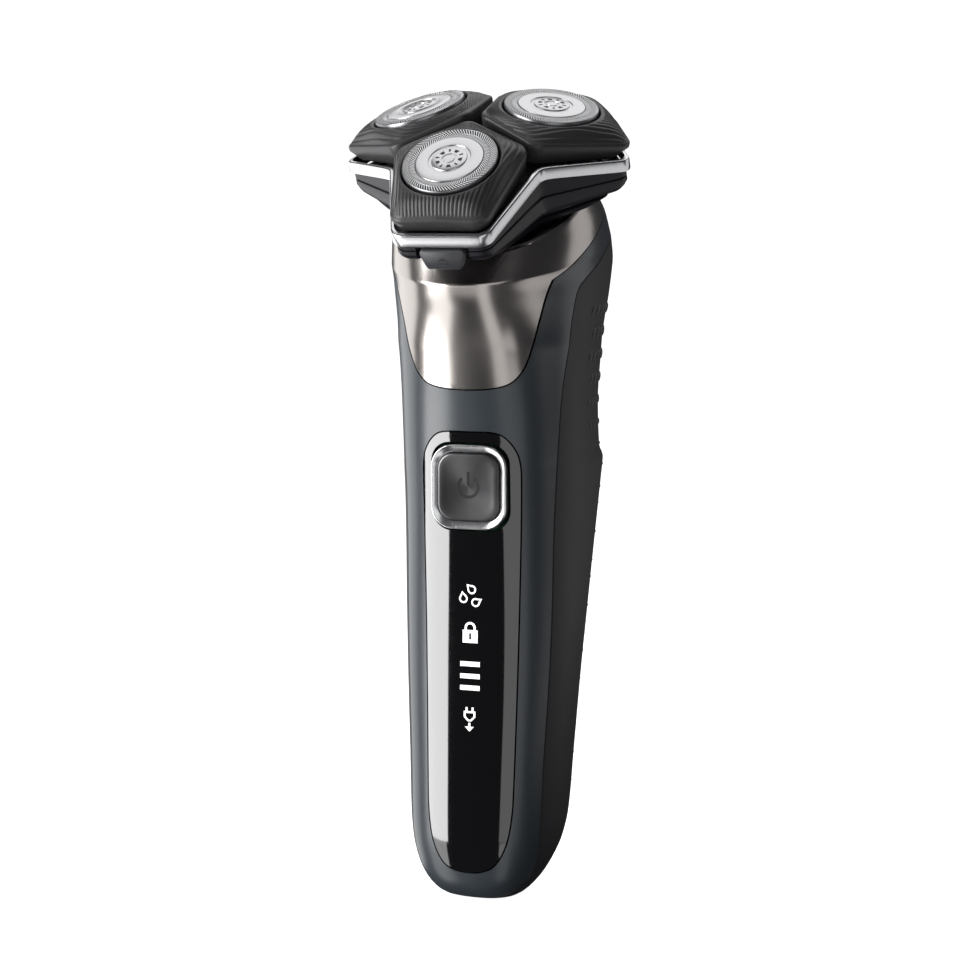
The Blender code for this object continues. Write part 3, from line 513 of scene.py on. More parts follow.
def surface_at(item, angle, height, centre_y=9.0):
    """Where a level spoke from the handle's middle leaves an object, and its normal there."""
    direction = Vector((math.cos(angle), math.sin(angle), 0))
    hit, spot, normal, _ = item.ray_cast(Vector((0, centre_y, height)) * MM + direction * 0.06, -direction)
    return (spot, normal) if hit else None


def pip(bm, spot, normal, lean, length, width, height):
    """A small rounded ridge lying on a surface, leaning back from upright."""
    across = Vector((0, 0, 1)).cross(normal).normalized()
    up = normal.cross(across)
    along = up * math.cos(lean) + across * math.sin(lean)
    sideways = along.cross(normal)
    turn = Matrix((sideways, along, normal)).transposed().to_4x4()
    size = Matrix.Diagonal((width / 2 * MM, length / 2 * MM, height * MM, 1))
    bmesh.ops.create_uvsphere(bm, u_segments=8, v_segments=6, radius=1,
                              matrix=Matrix.Translation(spot) @ turn @ size)


ROW_TOP, ROW_PITCH = 121.8, 4.75
RIDGE_ROWS = ((2.9, 0.75, 0.34), (3.0, 0.75, 0.36), (3.0, 0.75, 0.36), (2.8, 0.72, 0.34),
              (2.3, 0.68, 0.3), (1.5, 0.6, 0.26), (0.8, 0.5, 0.2), (0.6, 0.4, 0.15))
RIDGE_COLUMNS, RIDGE_START, RIDGE_STEP, RIDGE_DRIFT = 7, -7, 8.6, 0.8    # degrees round the grip
RIDGE_LEAN = math.radians(42)
NEAREST_SIDE = 11.6            # ridges stay this far out, clear of the trimmer
PIP_TOP, PIP_PITCH, PIP_ROWS = 83.8, 3.05, 22
PIP_COLUMNS, PIP_START, PIP_STEP, PIP_WIDTH, PIP_HEIGHT = 5, 2, 17, 0.55, 0.16
bm = bmesh.new()
for side in (1, -1):
    for row, (length, width, height) in enumerate(RIDGE_ROWS):
        level = ROW_TOP - ROW_PITCH * row
        for column in range(RIDGE_COLUMNS):
            angle = math.radians(RIDGE_START + RIDGE_STEP * (column + 0.5 * (row % 2)) + row * RIDGE_DRIFT)
            found = surface_at(grip, angle if side > 0 else math.pi - angle, level)
            if found and abs(found[0].x) > NEAREST_SIDE * MM:
                pip(bm, *found, side * RIDGE_LEAN, length, width, height)
    for row in range(PIP_ROWS):
        fade = 1 - 0.6 * row / PIP_ROWS
        for column in range(PIP_COLUMNS):
            angle = math.radians(PIP_START + PIP_STEP * (column + 0.5 * (row % 2)))
            found = surface_at(grip, angle if side > 0 else math.pi - angle, PIP_TOP - PIP_PITCH * row)
            if found:
                pip(bm, *found, 0.0, PIP_WIDTH, PIP_WIDTH, PIP_HEIGHT * fade)
ridges = solid("grip_ridges", bm, unit=1)
ridges.data.shade_smooth()
# The ridges are a lighter rubber than the grip: the lighter colour is a painted highlight for the light their
# sides catch, and their lower roughness is their own gloss.
ridge_rubber_painted_highlight = moulded("ridge_rubber_painted_highlight", 3500, 50,
                       (0.085, 0.080, 0.086), (0.070, 0.066, 0.071), (0.36, 0.44), 0.004)
dressed(ridges, "grip_ridges", "handle", "black_rubber", ridge_rubber_painted_highlight)

# --- Metal collar ---------------------------------------------------------------------------------
# A sleeve pressed from sheet steel, brushed along the handle and tinted warm grey. A crisp fold
# turns its top edge in under the head, and its apron runs down over the front shell.
collar_steel = brushed("collar_steel", (7000, 7000, 90),
                       (0.50, 0.465, 0.44), (0.42, 0.39, 0.37), (0.19, 0.24), 0.0012)
collar = shape(copy_of(handle_wall, "collar_look"), collar_room("collar_zone", -HALF_GAP), "INTERSECT")
dressed(collar, "collar_sleeve", "handle", "brushed_collar", collar_steel, "metal_collar", sharp=30)

# --- Display window -------------------------------------------------------------------------------
# One long pane of polished black acrylic, glued into the front shell. The icons are lit through it
# from the light guide behind, and show as thin white shapes on its face.
acrylic = moulded("black_acrylic", 300, 40,
                  (0.003, 0.003, 0.0035), (0.002, 0.002, 0.0025), (0.05, 0.10), 0.0004)
tuned(acrylic, {"Specular IOR Level": 0.7, "Coat IOR": 1.6, "Coat Weight": 1.0, "Coat Roughness": 0.04})
window = shape(copy_of(handle_wall, "window_look"),
               prism("panel_zone", mirrored(shifted(PANEL, HALF_GAP)), -FAR, 0), "INTERSECT")


def rounded(corners, radius, steps=8, straight=1):
    """Turn each corner of a closed outline into an arc; each edge between has some equal parts."""
    points = [Vector(c) for c in corners]
    arcs = []
    for i, here in enumerate(points):
        back = (points[i - 1] - here).normalized()
        ahead = (points[(i + 1) % len(points)] - here).normalized()
        half = math.acos(max(-1, min(1, back.dot(ahead)))) / 2
        reach = radius / math.tan(half)
        centre = here + (back + ahead).normalized() * radius / math.sin(half)
        start, end = here + back * reach - centre, here + ahead * reach - centre
        swing = start.angle_signed(end)
        arc = []
        for step in range(steps + 1):
            spoke = start.copy()
            spoke.rotate(Matrix.Rotation(-swing * step / steps, 2))
            arc.append(centre + spoke)
        arcs.append(arc)
    outline = []
    for arc, following in zip(arcs, arcs[1:] + arcs[:1]):
        outline += arc + [arc[-1].lerp(following[0], k / straight) for k in range(1, straight)]
    return outline


def rounded_box(half_width, half_height, centre_z, radius, steps=10):
    """A rounded rectangle centred on the middle line at a height."""
    corners = [(-half_width, -half_height), (half_width, -half_height),
               (half_width, half_height), (-half_width, half_height)]
    return [p + Vector((0, centre_z)) for p in rounded(corners, radius, steps)]


bezel_low, bezel_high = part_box("button_bezel")
BUTTON_Z = (bezel_low.z + bezel_high.z) / 2 / MM
BEZEL_HALF = (bezel_high.x / MM, (bezel_high.z - bezel_low.z) / 2 / MM)
RING_ROOM, RING_ROOM_RADIUS = 0.25, 4.3
shape(window, prism("bezel_room", rounded_box(BEZEL_HALF[0] + RING_ROOM, BEZEL_HALF[1] + RING_ROOM,
                                              BUTTON_Z, RING_ROOM_RADIUS), -FAR, 0))
dressed(window, "display_pane", "handle", "black_gloss", acrylic, "display_window", sharp=38)

icon_white, tree, shader = plain_material("lit_icons", (0.9, 0.9, 0.9), 0.5)
shader.inputs["Emission Strength"].default_value = 0.75
glow = tree.nodes.new("ShaderNodeGroup")
glow.node_tree = grain_group
ramp = tree.nodes.new("ShaderNodeMapRange")
ramp.inputs["To Min"].default_value = 0.9
tree.links.new(glow.outputs["Drift"], ramp.inputs["Value"])
tree.links.new(ramp.outputs["Result"], shader.inputs["Emission Color"])


def arc_band(centre, outer_radius, inner_radius, start, end, steps=18):
    """A band along an arc, as a closed outline; angles are in degrees."""
    turns = [math.radians(start + (end - start) * k / steps) for k in range(steps + 1)]
    return ([(centre[0] + outer_radius * math.cos(a), centre[1] + outer_radius * math.sin(a)) for a in turns]
            + [(centre[0] + inner_radius * math.cos(a), centre[1] + inner_radius * math.sin(a))
               for a in reversed(turns)])


def bar(x0, z0, x1, z1):
    """A rectangle's outline between two corners."""
    return [(x0, z0), (x1, z0), (x1, z1), (x0, z1)]


def on_front(x, z, item):
    """The y of an object's front face at a place, in millimetres."""
    hit, spot, _, _ = item.ray_cast(Vector((x, -FAR, z)) * MM, Vector((0, 1, 0)))
    return spot.y / MM if hit else None


def inlay(name, outlines, item, proud=0.03, sunk=0.12):
    """Thin closed shapes that follow an object's front face."""
    bm = bmesh.new()
    for outline in outlines:
        depths = [on_front(x, z, item) for x, z in outline]
        skin(bm, [[Vector((x, y - proud, z)) for (x, z), y in zip(outline, depths)],
                  [Vector((x, y + sunk, z)) for (x, z), y in zip(outline, depths)]], False)
    return solid(name, bm)


def drop(centre, turn, size):
    """The outline band of a water drop: a round belly drawn out to a tip, in two halves."""
    def edge(scale):
        points = []
        for k in range(25):
            a = math.radians(-230 + 280 * k / 24)
            points.append(Vector((math.cos(a), math.sin(a))) * scale)
        tip = Vector((0, 1.62 * scale + 0.1))
        return [tip, *points]
    outer_edge, inner_edge = edge(size), edge(size * 0.62)
    spin = Matrix.Rotation(math.radians(turn), 2)

    def spot(p):
        return tuple(spin @ p + Vector(centre))
    half = len(outer_edge) // 2
    first = [spot(p) for p in outer_edge[:half + 1]] + [spot(p) for p in reversed(inner_edge[:half + 1])]
    second = ([spot(p) for p in outer_edge[half:] + outer_edge[:1]]
              + [spot(p) for p in reversed(inner_edge[half:] + inner_edge[:1])])
    return [first, second]


DROP_SIZE = 0.92
icons = []
for centre, turn in (((0.35, 65.9), 45), ((-1.45, 64.0), 10), ((1.15, 63.3), -60)):
    icons += drop(centre, turn, DROP_SIZE)
LOCK_Z = 56.3
icons += [bar(-1.6, LOCK_Z - 1.35, -0.22, LOCK_Z + 1.3), bar(0.22, LOCK_Z - 1.35, 1.6, LOCK_Z + 1.3),
          bar(-0.22, LOCK_Z - 1.35, 0.22, LOCK_Z - 0.65), bar(-0.22, LOCK_Z + 0.65, 0.22, LOCK_Z + 1.3),
          arc_band((0, LOCK_Z + 1.75), 1.2, 0.72, 0, 180),
          bar(-1.2, LOCK_Z + 1.3, -0.72, LOCK_Z + 1.75), bar(0.72, LOCK_Z + 1.3, 1.2, LOCK_Z + 1.75)]
CHARGE_BAR_LEVELS, CHARGE_BAR_HALF = (50.6, 48.1, 45.7), (2.1, 0.5)
for level in CHARGE_BAR_LEVELS:
    icons.append(bar(-CHARGE_BAR_HALF[0], level - CHARGE_BAR_HALF[1],
                     CHARGE_BAR_HALF[0], level + CHARGE_BAR_HALF[1]))
PLUG_Z = 39.6
icons += [bar(-0.85, PLUG_Z + 1.3, -0.45, PLUG_Z + 2.1), bar(0.45, PLUG_Z + 1.3, 0.85, PLUG_Z + 2.1),
          bar(-1.25, PLUG_Z + 0.9, 1.25, PLUG_Z + 1.3),
          [(-1.25, PLUG_Z + 0.9), (-1.25, PLUG_Z + 0.1), (-0.4, PLUG_Z - 0.8), (0, PLUG_Z - 0.8),
           (0, PLUG_Z - 0.45), (-0.25, PLUG_Z - 0.45), (-0.85, PLUG_Z + 0.25), (-0.85, PLUG_Z + 0.9)],
          [(1.25, PLUG_Z + 0.9), (0.85, PLUG_Z + 0.9), (0.85, PLUG_Z + 0.25), (0.25, PLUG_Z - 0.45),
           (0, PLUG_Z - 0.45), (0, PLUG_Z - 0.8), (0.4, PLUG_Z - 0.8), (1.25, PLUG_Z + 0.1)],
          bar(-0.22, PLUG_Z - 1.9, 0.22, PLUG_Z - 1.1),
          [(-0.95, PLUG_Z - 1.9), (0, PLUG_Z - 2.9), (0.95, PLUG_Z - 1.9)]]
dressed(inlay("display_icons", icons, window), "display_icons", "handle", "white_plastic", icon_white)

# --- Ring round the power button ------------------------------------------------------------------
# A die-cast frame plated in bright chrome, pressed into the pane. Its crest stands proud, and its
# inner slope leads the thumb down to the button.
RING_CREST_Y = bezel_low.y / MM
PANE_Y = -11.4
button_low, button_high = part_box("power_button")
BUTTON_HALF = (button_high.x / MM, (button_high.z - button_low.z) / 2 / MM)


def front_loops(half_size, rows):
    """Rounded outlines round the button's middle; a row is (growth each side, radius, y)."""
    return [[Vector((p.x, y, p.y)) for p in
             rounded_box(half_size[0] + growth, half_size[1] + growth, BUTTON_Z, radius, 12)]
            for growth, radius, y in rows]


chrome = moulded("bright_chrome", 900, 60,
                 (0.90, 0.90, 0.91), (0.85, 0.85, 0.86), (0.20, 0.27), 0.0006, metallic=1.0)
RING_GAP, SLOPE_GAP = 0.15, 0.15    # ring to pane, and ring to key
ring_half = [half - RING_GAP for half in BEZEL_HALF]
slope_half = [half + SLOPE_GAP for half in BUTTON_HALF]
RING_BACK_Y = PANE_Y + 2.2
chrome_ring = lofted("chrome_ring", front_loops(ring_half, (
    (0, 4.6, RING_BACK_Y), (0, 4.6, PANE_Y - 0.3), (-0.06, 4.55, RING_CREST_Y + 0.3),
    (-0.16, 4.5, RING_CREST_Y + 0.06), (-0.3, 4.4, RING_CREST_Y), (-0.45, 4.3, RING_CREST_Y + 0.07)))
    + front_loops(slope_half, (
        (0.14, 3.4, PANE_Y - 0.5), (0, 3.35, PANE_Y - 0.35), (0, 3.35, RING_BACK_Y))),
    hollow=True, sharp=50)
dressed(chrome_ring, "power_ring", "handle", "chrome", chrome, "button_bezel")

# --- Power button ---------------------------------------------------------------------------------
# A turned-brushed metal key that dips towards its middle. The fine scratches run round its centre; the fan of
# light they throw is painted into its colour as a painted sheen, and the on-off sign is sunk in and filled
# with black.
key_metal, tree, shader = plain_material("key_metal", (0.16, 0.16, 0.165), 0.32, 1.0)
coordinates = tree.nodes.new("ShaderNodeTexCoord").outputs["Object"]
centred = tree.nodes.new("ShaderNodeMapping")
centred.inputs["Location"].default_value = (0, 0, -BUTTON_Z * MM)
tree.links.new(coordinates, centred.inputs["Vector"])
apart = tree.nodes.new("ShaderNodeSeparateXYZ")
tree.links.new(centred.outputs["Vector"], apart.inputs["Vector"])
turn = maths(tree, "ARCTAN2", apart.outputs["Z"], apart.outputs["X"])
reach = maths(tree, "SQRT", maths(tree, "ADD", maths(tree, "POWER", apart.outputs["X"], 2.0),
                                  maths(tree, "POWER", apart.outputs["Z"], 2.0)))
polar = tree.nodes.new("ShaderNodeCombineXYZ")
tree.links.new(maths(tree, "MULTIPLY", maths(tree, "SINE", turn), 0.9), polar.inputs["X"])
tree.links.new(maths(tree, "MULTIPLY", maths(tree, "COSINE", turn), 0.9), polar.inputs["Y"])
tree.links.new(maths(tree, "MULTIPLY", reach, 9000.0), polar.inputs["Z"])
rings_noise = noise(tree, polar.outputs[0], 1.0, 3.0, 0.7)
# Painted sheen: two opposite bright sectors round the key's centre, painted into its colour.
painted_sheen_beams = maths(tree, "COSINE", maths(tree, "MULTIPLY_ADD", turn, 2.0, 2.2))
painted_sheen_fan = maths(tree, "POWER", maths(tree, "MULTIPLY_ADD", painted_sheen_beams, 0.5, 0.5), 2.0)
mix = tree.nodes.new("ShaderNodeMix")
mix.data_type = "RGBA"
mix.inputs["A"].default_value = (0.075, 0.075, 0.077, 1)
mix.inputs["B"].default_value = (0.24, 0.24, 0.243, 1)
# The key's colour: the brushing noise plus the painted sheen.
tree.links.new(maths(tree, "MULTIPLY_ADD", rings_noise, 0.25, maths(tree, "MULTIPLY", painted_sheen_fan, 0.6)),
               mix.inputs["Factor"])
tree.links.new(mix.outputs["Result"], shader.inputs["Base Color"])
relief = tree.nodes.new("ShaderNodeBump")
relief.inputs["Distance"].default_value = 0.004 * MM
tree.links.new(rings_noise, relief.inputs["Height"])
tree.links.new(relief.outputs["Normal"], shader.inputs["Normal"])

KEY_FACE_Y = button_low.y / MM
DISH = 0.25                    # how far the face dips in the middle
rim_loops = front_loops(BUTTON_HALF, (
    (0, 3.2, KEY_FACE_Y + 1.9), (0, 3.2, KEY_FACE_Y + 0.35), (-0.06, 3.15, KEY_FACE_Y + 0.16),
    (-0.22, 3.0, KEY_FACE_Y + 0.03), (-0.45, 2.9, KEY_FACE_Y)))
face_loops = [front_loops([half * share for half in BUTTON_HALF],
                          [(0, 2.9 * share, KEY_FACE_Y + DISH * (1 - share * share))])[0]
              for share in (0.8, 0.6, 0.4, 0.2, 0.05)]
key = lofted("key", rim_loops + face_loops, sharp=45)
dressed(key, "power_key", "power_button_body", "dark_metal", key_metal, "power_button")
ink = moulded("black_ink", 2500, 80, (0.012, 0.012, 0.012), (0.008, 0.008, 0.008), (0.35, 0.5), 0.001)
SIGN_Z = BUTTON_Z + 0.1
SIGN_OUTER, SIGN_INNER = 2.4, 1.78
sign = inlay("sign", [arc_band((0, SIGN_Z), SIGN_OUTER, SIGN_INNER, -232, -90, 24),
                      arc_band((0, SIGN_Z), SIGN_OUTER, SIGN_INNER, -90, 52, 24),
                      bar(-0.31, SIGN_Z + 0.2, 0.31, SIGN_Z + 3.0)], key, proud=0.02)
dressed(sign, "power_sign", "power_button_body", "black_gloss", ink)
bpy.data.objects.remove(handle_wall)

# --- Finishes of the inner and small pieces -------------------------------------------------------
# Each record slot gets its own finish: moulded acetal, nylon and ABS, silicone rubber, ground steel,
# plated brass, the board's solder mask and the cell's plain sleeve.
chamber_plastic = moulded("chamber_abs", 2200, 60,
                          (0.014, 0.013, 0.018), (0.009, 0.008, 0.012), (0.28, 0.38), 0.003)
tuned(chamber_plastic, {"Specular IOR Level": 0.3})
grey_plastic = moulded("tab_abs", 3000, 60,
                       (0.060, 0.061, 0.068), (0.048, 0.049, 0.055), (0.38, 0.5), 0.005)
acetal = moulded("natural_acetal", 1800, 90, (0.72, 0.71, 0.68), (0.64, 0.63, 0.60), (0.35, 0.5), 0.003)
silicone = moulded("silicone_seal", 2600, 80,
                   (0.05, 0.05, 0.052), (0.035, 0.035, 0.037), (0.55, 0.7), 0.005)
mask_green = moulded("solder_mask", 1500, 150,
                     (0.02, 0.13, 0.055), (0.012, 0.09, 0.035), (0.3, 0.45), 0.003)
brass = brushed("plated_brass", (4000, 4000, 300),
                (0.60, 0.46, 0.22), (0.50, 0.37, 0.17), (0.25, 0.4), 0.003)
sleeve = moulded("cell_sleeve", 1200, 120, (0.06, 0.16, 0.40), (0.045, 0.12, 0.32), (0.25, 0.4), 0.004)
steel = brushed("ground_steel", (5000, 500, 5000),
                (0.36, 0.36, 0.37), (0.28, 0.28, 0.29), (0.28, 0.36), 0.002)
dark_steel = moulded("dark_steel", 3000, 100,
                     (0.10, 0.10, 0.105), (0.06, 0.06, 0.065), (0.3, 0.45), 0.003, metallic=1.0)
satin_silver = moulded("satin_silver", 3800, 50,
                       (0.78, 0.78, 0.79), (0.72, 0.72, 0.735), (0.22, 0.28), 0.0015, metallic=1.0)
bezel_plastic = moulded("bezel_abs", 3200, 60,
                        (0.050, 0.050, 0.052), (0.036, 0.036, 0.038), (0.34, 0.44), 0.003)
SLOT_FINISH = {"slate_shell": slate, "black_rubber": rubber, "brushed_collar": collar_steel,
               "black_gloss": acrylic, "chrome": chrome, "dark_metal": dark_steel,
               "silver_satin": satin_silver, "steel": steel, "bezel_plastic": bezel_plastic,
               "chamber_plastic": chamber_plastic, "grey_plastic": grey_plastic,
               "white_plastic": acetal, "seal_rubber": silicone, "board_green": mask_green,
               "brass": brass, "cell_sleeve": sleeve}
node_slot = {row["node"]: row["material_slot"] for row in frame["record"]["subparts"]}
for node, item in frame["nodes"].items():
    item.data.materials.clear()
    item.data.materials.append(SLOT_FINISH[node_slot[node]])


def refined(node, name, body, bevel, segments=2, angle=30, merge=0.00002):
    """A finished version of a plain CAD piece: its mesh with its edges rounded."""
    item = frame["nodes"][node].copy()
    item.data = item.data.copy()
    item.parent = None
    for key_name in list(item.keys()):
        del item[key_name]
    bpy.context.scene.collection.objects.link(item)
    bm = bmesh.new()
    bm.from_mesh(item.data)
    bmesh.ops.remove_doubles(bm, verts=bm.verts[:], dist=merge)
    bmesh.ops.dissolve_limit(bm, angle_limit=math.radians(1), verts=bm.verts[:], edges=bm.edges[:])
    bm.to_mesh(item.data)
    bm.free()
    only(item)
    step = item.modifiers.new("round_edges", "BEVEL")
    step.width = bevel * MM
    step.segments = segments
    step.limit_method = "ANGLE"
    step.angle_limit = math.radians(angle)
    bpy.ops.object.modifier_apply(modifier=step.name)
    return dressed(item, name, body, node_slot[node], SLOT_FINISH[node_slot[node]], node, sharp=40)


# --- Foot and charging socket ---------------------------------------------------------------------
# The socket block is moulded in black and stands in the grip's foot, with two plated pins.
refined("charge_socket", "socket_block", "handle", 0.25)

# --- Pop-up trimmer on the back -------------------------------------------------------------------
# A hinged ABS arm carries a fixed steel comb and a blade that slides behind it. The ribbed latch
# below slides down to let it out.
refined("trimmer_housing", "trimmer_arm", "trimmer", 0.5, 3)
refined("trimmer_comb", "trimmer_comb_plate", "trimmer", 0.06, 1)
refined("trimmer_cutter", "trimmer_blade_plate", "trimmer_blade", 0.05, 1)
refined("trimmer_slide", "latch_key", "trimmer_latch", 0.45, 3)


def ribs(name, body, spots, half_width, half_height, sunk, proud, bevel):
    """A row of rounded ribs across a face, made one piece; a spot is the face's (y, z) there."""
    row = [block(f"{name}_{k}", (-half_width, y - sunk, z - half_height),
                 (half_width, y + proud, z + half_height), bevel=bevel) for k, (y, z) in enumerate(spots)]
    bpy.ops.object.select_all(action="DESELECT")
    for rib in row:
        rib.select_set(True)
    bpy.context.view_layer.objects.active = row[0]
    bpy.ops.object.join()
    dressed(row[0], name, body, "grey_plastic", grey_plastic, sharp=40)


RIB_COUNT, RIB_PITCH, FIRST_RIB = 5, 1.1, 2.2
latch = bpy.data.objects["latch_key"]
latch_spots = []
for k in range(RIB_COUNT):
    level = slide_low.z / MM + FIRST_RIB + RIB_PITCH * k
    hit, spot, _, _ = latch.ray_cast(Vector((0, 0.06, level * MM)), Vector((0, -1, 0)))
    latch_spots.append((spot.y / MM, level))
ribs("latch_ribs", "trimmer_latch", latch_spots, 3.2, 0.22, 0.4, 0.3, 0.2)
_, arm_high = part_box("trimmer_housing")
ARM_RIBS, ARM_RIB_PITCH, BELOW_TOP = 3, 1.5, 3.0
arm_spots = [(arm_high.y / MM, arm_high.z / MM - BELOW_TOP - ARM_RIB_PITCH * k) for k in range(ARM_RIBS)]
ribs("arm_ribs", "trimmer", arm_spots, 4.5, 0.3, 0.5, 0.25, 0.25)

# --- Gear cover -----------------------------------------------------------------------------------
# The head's underside: a shallow black moulding that closes the gear room and plugs into the neck.
HEAD = Matrix.Translation(HEAD_CENTRE * MM) @ Matrix.Rotation(HEAD_TILT, 4, "X")
POD_AZIMUTHS = {"front": -90, "right": 30, "left": 150}
POD_TILT = math.radians(13)
REAR_WIDER, REAR_SHORTER = 2.6, 0.6    # the two rear lobes are wider each side, and shorter
LOBES = [Vector((math.cos(math.radians(a)), math.sin(math.radians(a)))) for a in POD_AZIMUTHS.values()]


def lobed(reach, half_width, waist, radius=3.0):
    """Three-lobed outline: flat lobe ends at the reach, joined by shallow waists."""
    corners = []
    for label, azimuth in POD_AZIMUTHS.items():
        rear = 0 if label == "front" else 1
        end, half = reach - rear * REAR_SHORTER, half_width + rear * REAR_WIDER
        turned = Matrix.Rotation(math.radians(azimuth), 2)
        corners += [turned @ Vector((end, -half)), turned @ Vector((end, half))]
        middle = math.radians(azimuth + 60)
        corners.append(Vector((waist * math.cos(middle), waist * math.sin(middle))))
    return rounded(corners, radius, 10, 12)


def level_ring(outline, height):
    """An outline lifted to one height."""
    return [Vector((p[0], p[1], height)) for p in outline]


def arched(outline, level):
    """Lift an outline so that it dips smoothly towards each lobe, as the leaning pods do."""
    softness = 1.4
    ring = []
    for p in outline:
        reaches = [p.dot(lobe) / softness for lobe in LOBES]
        highest = max(reaches)
        blend = softness * (highest + math.log(sum(math.exp(r - highest) for r in reaches)))
        ring.append(Vector((p.x, p.y, level - math.tan(POD_TILT) * blend)))
    return ring


def round_ring(outline, radius, height):
    """A circle with one point for each point of an outline."""
    return [Vector((*(p.normalized() * radius), height)) for p in outline]


SPLIT = -16.7                  # height of the joint between cover and tub, along the head's axis
PLUG = ((15.2, -18.45), (14.8, -18.7), (14.6, -20.7), (14.4, -20.9))    # radius and height
HUB_ROOM = 4.3
low_outline, neck_outline = lobed(24.0, 8.0, 16.4), lobed(20.5, 8.4, 15.8)
gear_cover = lofted("gear_cover_look", [
    level_ring(lobed(23.6, 7.8, 16.1), SPLIT - 0.3), level_ring(low_outline, SPLIT - 0.6),
    level_ring(lobed(21.4, 8.35, 15.9), -18.0), level_ring(neck_outline, -18.25),
    *[round_ring(neck_outline, radius, height) for radius, height in PLUG]], HEAD, sharp=40)


def lathe(name, profile, place=None, sides=96, hollow=False, sharp=32):
    """A turned body from (radius, height) points, up its outside; hollow closes on itself."""
    rings = [[Vector((r * math.cos(2 * math.pi * i / sides), r * math.sin(2 * math.pi * i / sides), z))
              for i in range(sides)] for r, z in profile]
    return lofted(name, rings, place, hollow, sharp)


shape(gear_cover, lathe("hub_room", [(HUB_ROOM, -25), (HUB_ROOM, -10)], HEAD))
dressed(gear_cover, "gear_cover_shell", "head_base", "chamber_plastic", chamber_plastic, "gear_cover",
        sharp=40)

# --- Hair chamber ---------------------------------------------------------------------------------
# A glossy black tub that catches the hair. A fine groove runs round its wall, and at the back two
# knuckles carry the hinge pin on which the upper half opens.
wall, pocket = lobed(28.0, 9.2, 17.6), lobed(24.2, 6.6, 15.4)
CHAMBER_FLOOR, CHAMBER_RIM, WALL_FOOT = -14.0, -6.2, -14.6
GROOVE = (0.40, 0.44, 0.52, 0.56)
foot_ring, rim_ring = level_ring(wall, WALL_FOOT), arched(wall, CHAMBER_RIM)
groove_line = lobed(27.6, 8.95, 17.2)
cut_foot, cut_rim = level_ring(groove_line, WALL_FOOT), arched(groove_line, CHAMBER_RIM)


def part_way(low, high, share):
    """The ring that lies a share of the way from one ring to another."""
    return [a.lerp(b, share) for a, b in zip(low, high)]


chamber = lofted("chamber_look", [
    level_ring(lobed(23.7, 7.8, 16.1), SPLIT), level_ring(low_outline, SPLIT + 0.15),
    level_ring(lobed(26.9, 8.9, 17.0), -15.95), level_ring(lobed(27.5, 9.05, 17.3), -15.4), foot_ring,
    part_way(foot_ring, rim_ring, GROOVE[0]), part_way(cut_foot, cut_rim, GROOVE[1]),
    part_way(cut_foot, cut_rim, GROOVE[2]), part_way(foot_ring, rim_ring, GROOVE[3]),
    rim_ring, arched(pocket, CHAMBER_RIM), level_ring(pocket, CHAMBER_FLOOR)], HEAD, sharp=28)
SPINDLE_RADIUS = 14.8
GEAR_ROOM, POST_ROOM = 8.1, 1.9
GEAR_FLOOR, GEAR_CEILING, POST_TOP = -20, -14.9, -12
for azimuth in POD_AZIMUTHS.values():
    spot = Matrix.Translation(Vector((SPINDLE_RADIUS * math.cos(math.radians(azimuth)),
                                      SPINDLE_RADIUS * math.sin(math.radians(azimuth)), 0)) * MM)
    shape(chamber, lathe("post_room", [(POST_ROOM, GEAR_CEILING), (POST_ROOM, POST_TOP)], HEAD @ spot, 40))
    shape(chamber, lathe("gear_room", [(GEAR_ROOM, GEAR_FLOOR), (GEAR_ROOM, GEAR_CEILING)], HEAD @ spot, 72))
shape(chamber, lathe("hub_gear_room", [(GEAR_ROOM, GEAR_FLOOR), (GEAR_ROOM, GEAR_CEILING)], HEAD, 72))
TAB_ROOM_LOW, TAB_ROOM_HIGH = (-5.4, -32, -20), (5.4, -25.4, -12.9)
shape(chamber, block("tab_room", TAB_ROOM_LOW, TAB_ROOM_HIGH, HEAD))
HINGE = Vector((0, 24.6, -12.9))
KNUCKLE, PIN_BORE, PIN_REACH = 1.6, 1.0, 9    # radii, and half the bore's length
HINGE_LINE = HEAD @ Matrix.Translation(HINGE * MM) @ Matrix.Rotation(math.radians(90), 4, "Y")
for start, end in ((-5.0, -2.5), (2.5, 5.0)):
    shape(chamber, block("hinge_arm", (start, 16.6, -14.0), (end, HINGE.y, -11.9), HEAD), "UNION")
    shape(chamber, lathe("knuckle", [(KNUCKLE, start), (KNUCKLE, end)], HINGE_LINE, 40), "UNION")
shape(chamber, lathe("pin_room", [(PIN_BORE, -PIN_REACH), (PIN_BORE, PIN_REACH)], HINGE_LINE, 32))
dressed(chamber, "chamber_tub", "head_base", "chamber_plastic", chamber_plastic, "hair_chamber", sharp=28)

# --- Release tab ----------------------------------------------------------------------------------
# A grey push tab under the front lobe opens the head. Its face is a rounded shield, marked with a
# sunken arrow over a bar.
tab_low, tab_high = -17.4, -13.2
TAB_FACE, TAB_BACK = -28.5, -26.6
tab_outline = rounded([(-3.5, tab_low), (3.5, tab_low), (5.0, tab_high), (-5.0, tab_high)], 0.9, 8)
tab_inner = rounded([(-3.3, tab_low + 0.25), (3.3, tab_low + 0.25), (4.7, tab_high - 0.25),
                     (-4.7, tab_high - 0.25)], 0.7, 8)
tab = lofted("tab_look", [[Vector((p.x, v, p.y)) for p in line] for line, v in
                          ((tab_outline, TAB_BACK), (tab_outline, TAB_FACE + 0.25),
                           (tab_inner, TAB_FACE))], HEAD, sharp=50)
dressed(tab, "release_tab_key", "release_tab", "grey_plastic", grey_plastic, "release_button")


def flat_marks(name, outlines, place, proud, sunk):
    """Thin closed shapes on a flat face: outlines in (x, z), standing from sunk to proud along -Y."""
    bm = bmesh.new()
    for outline in outlines:
        skin(bm, [[Vector((x, y, z)) for x, z in outline] for y in (proud, sunk)], False)
    return solid(name, bm, place)


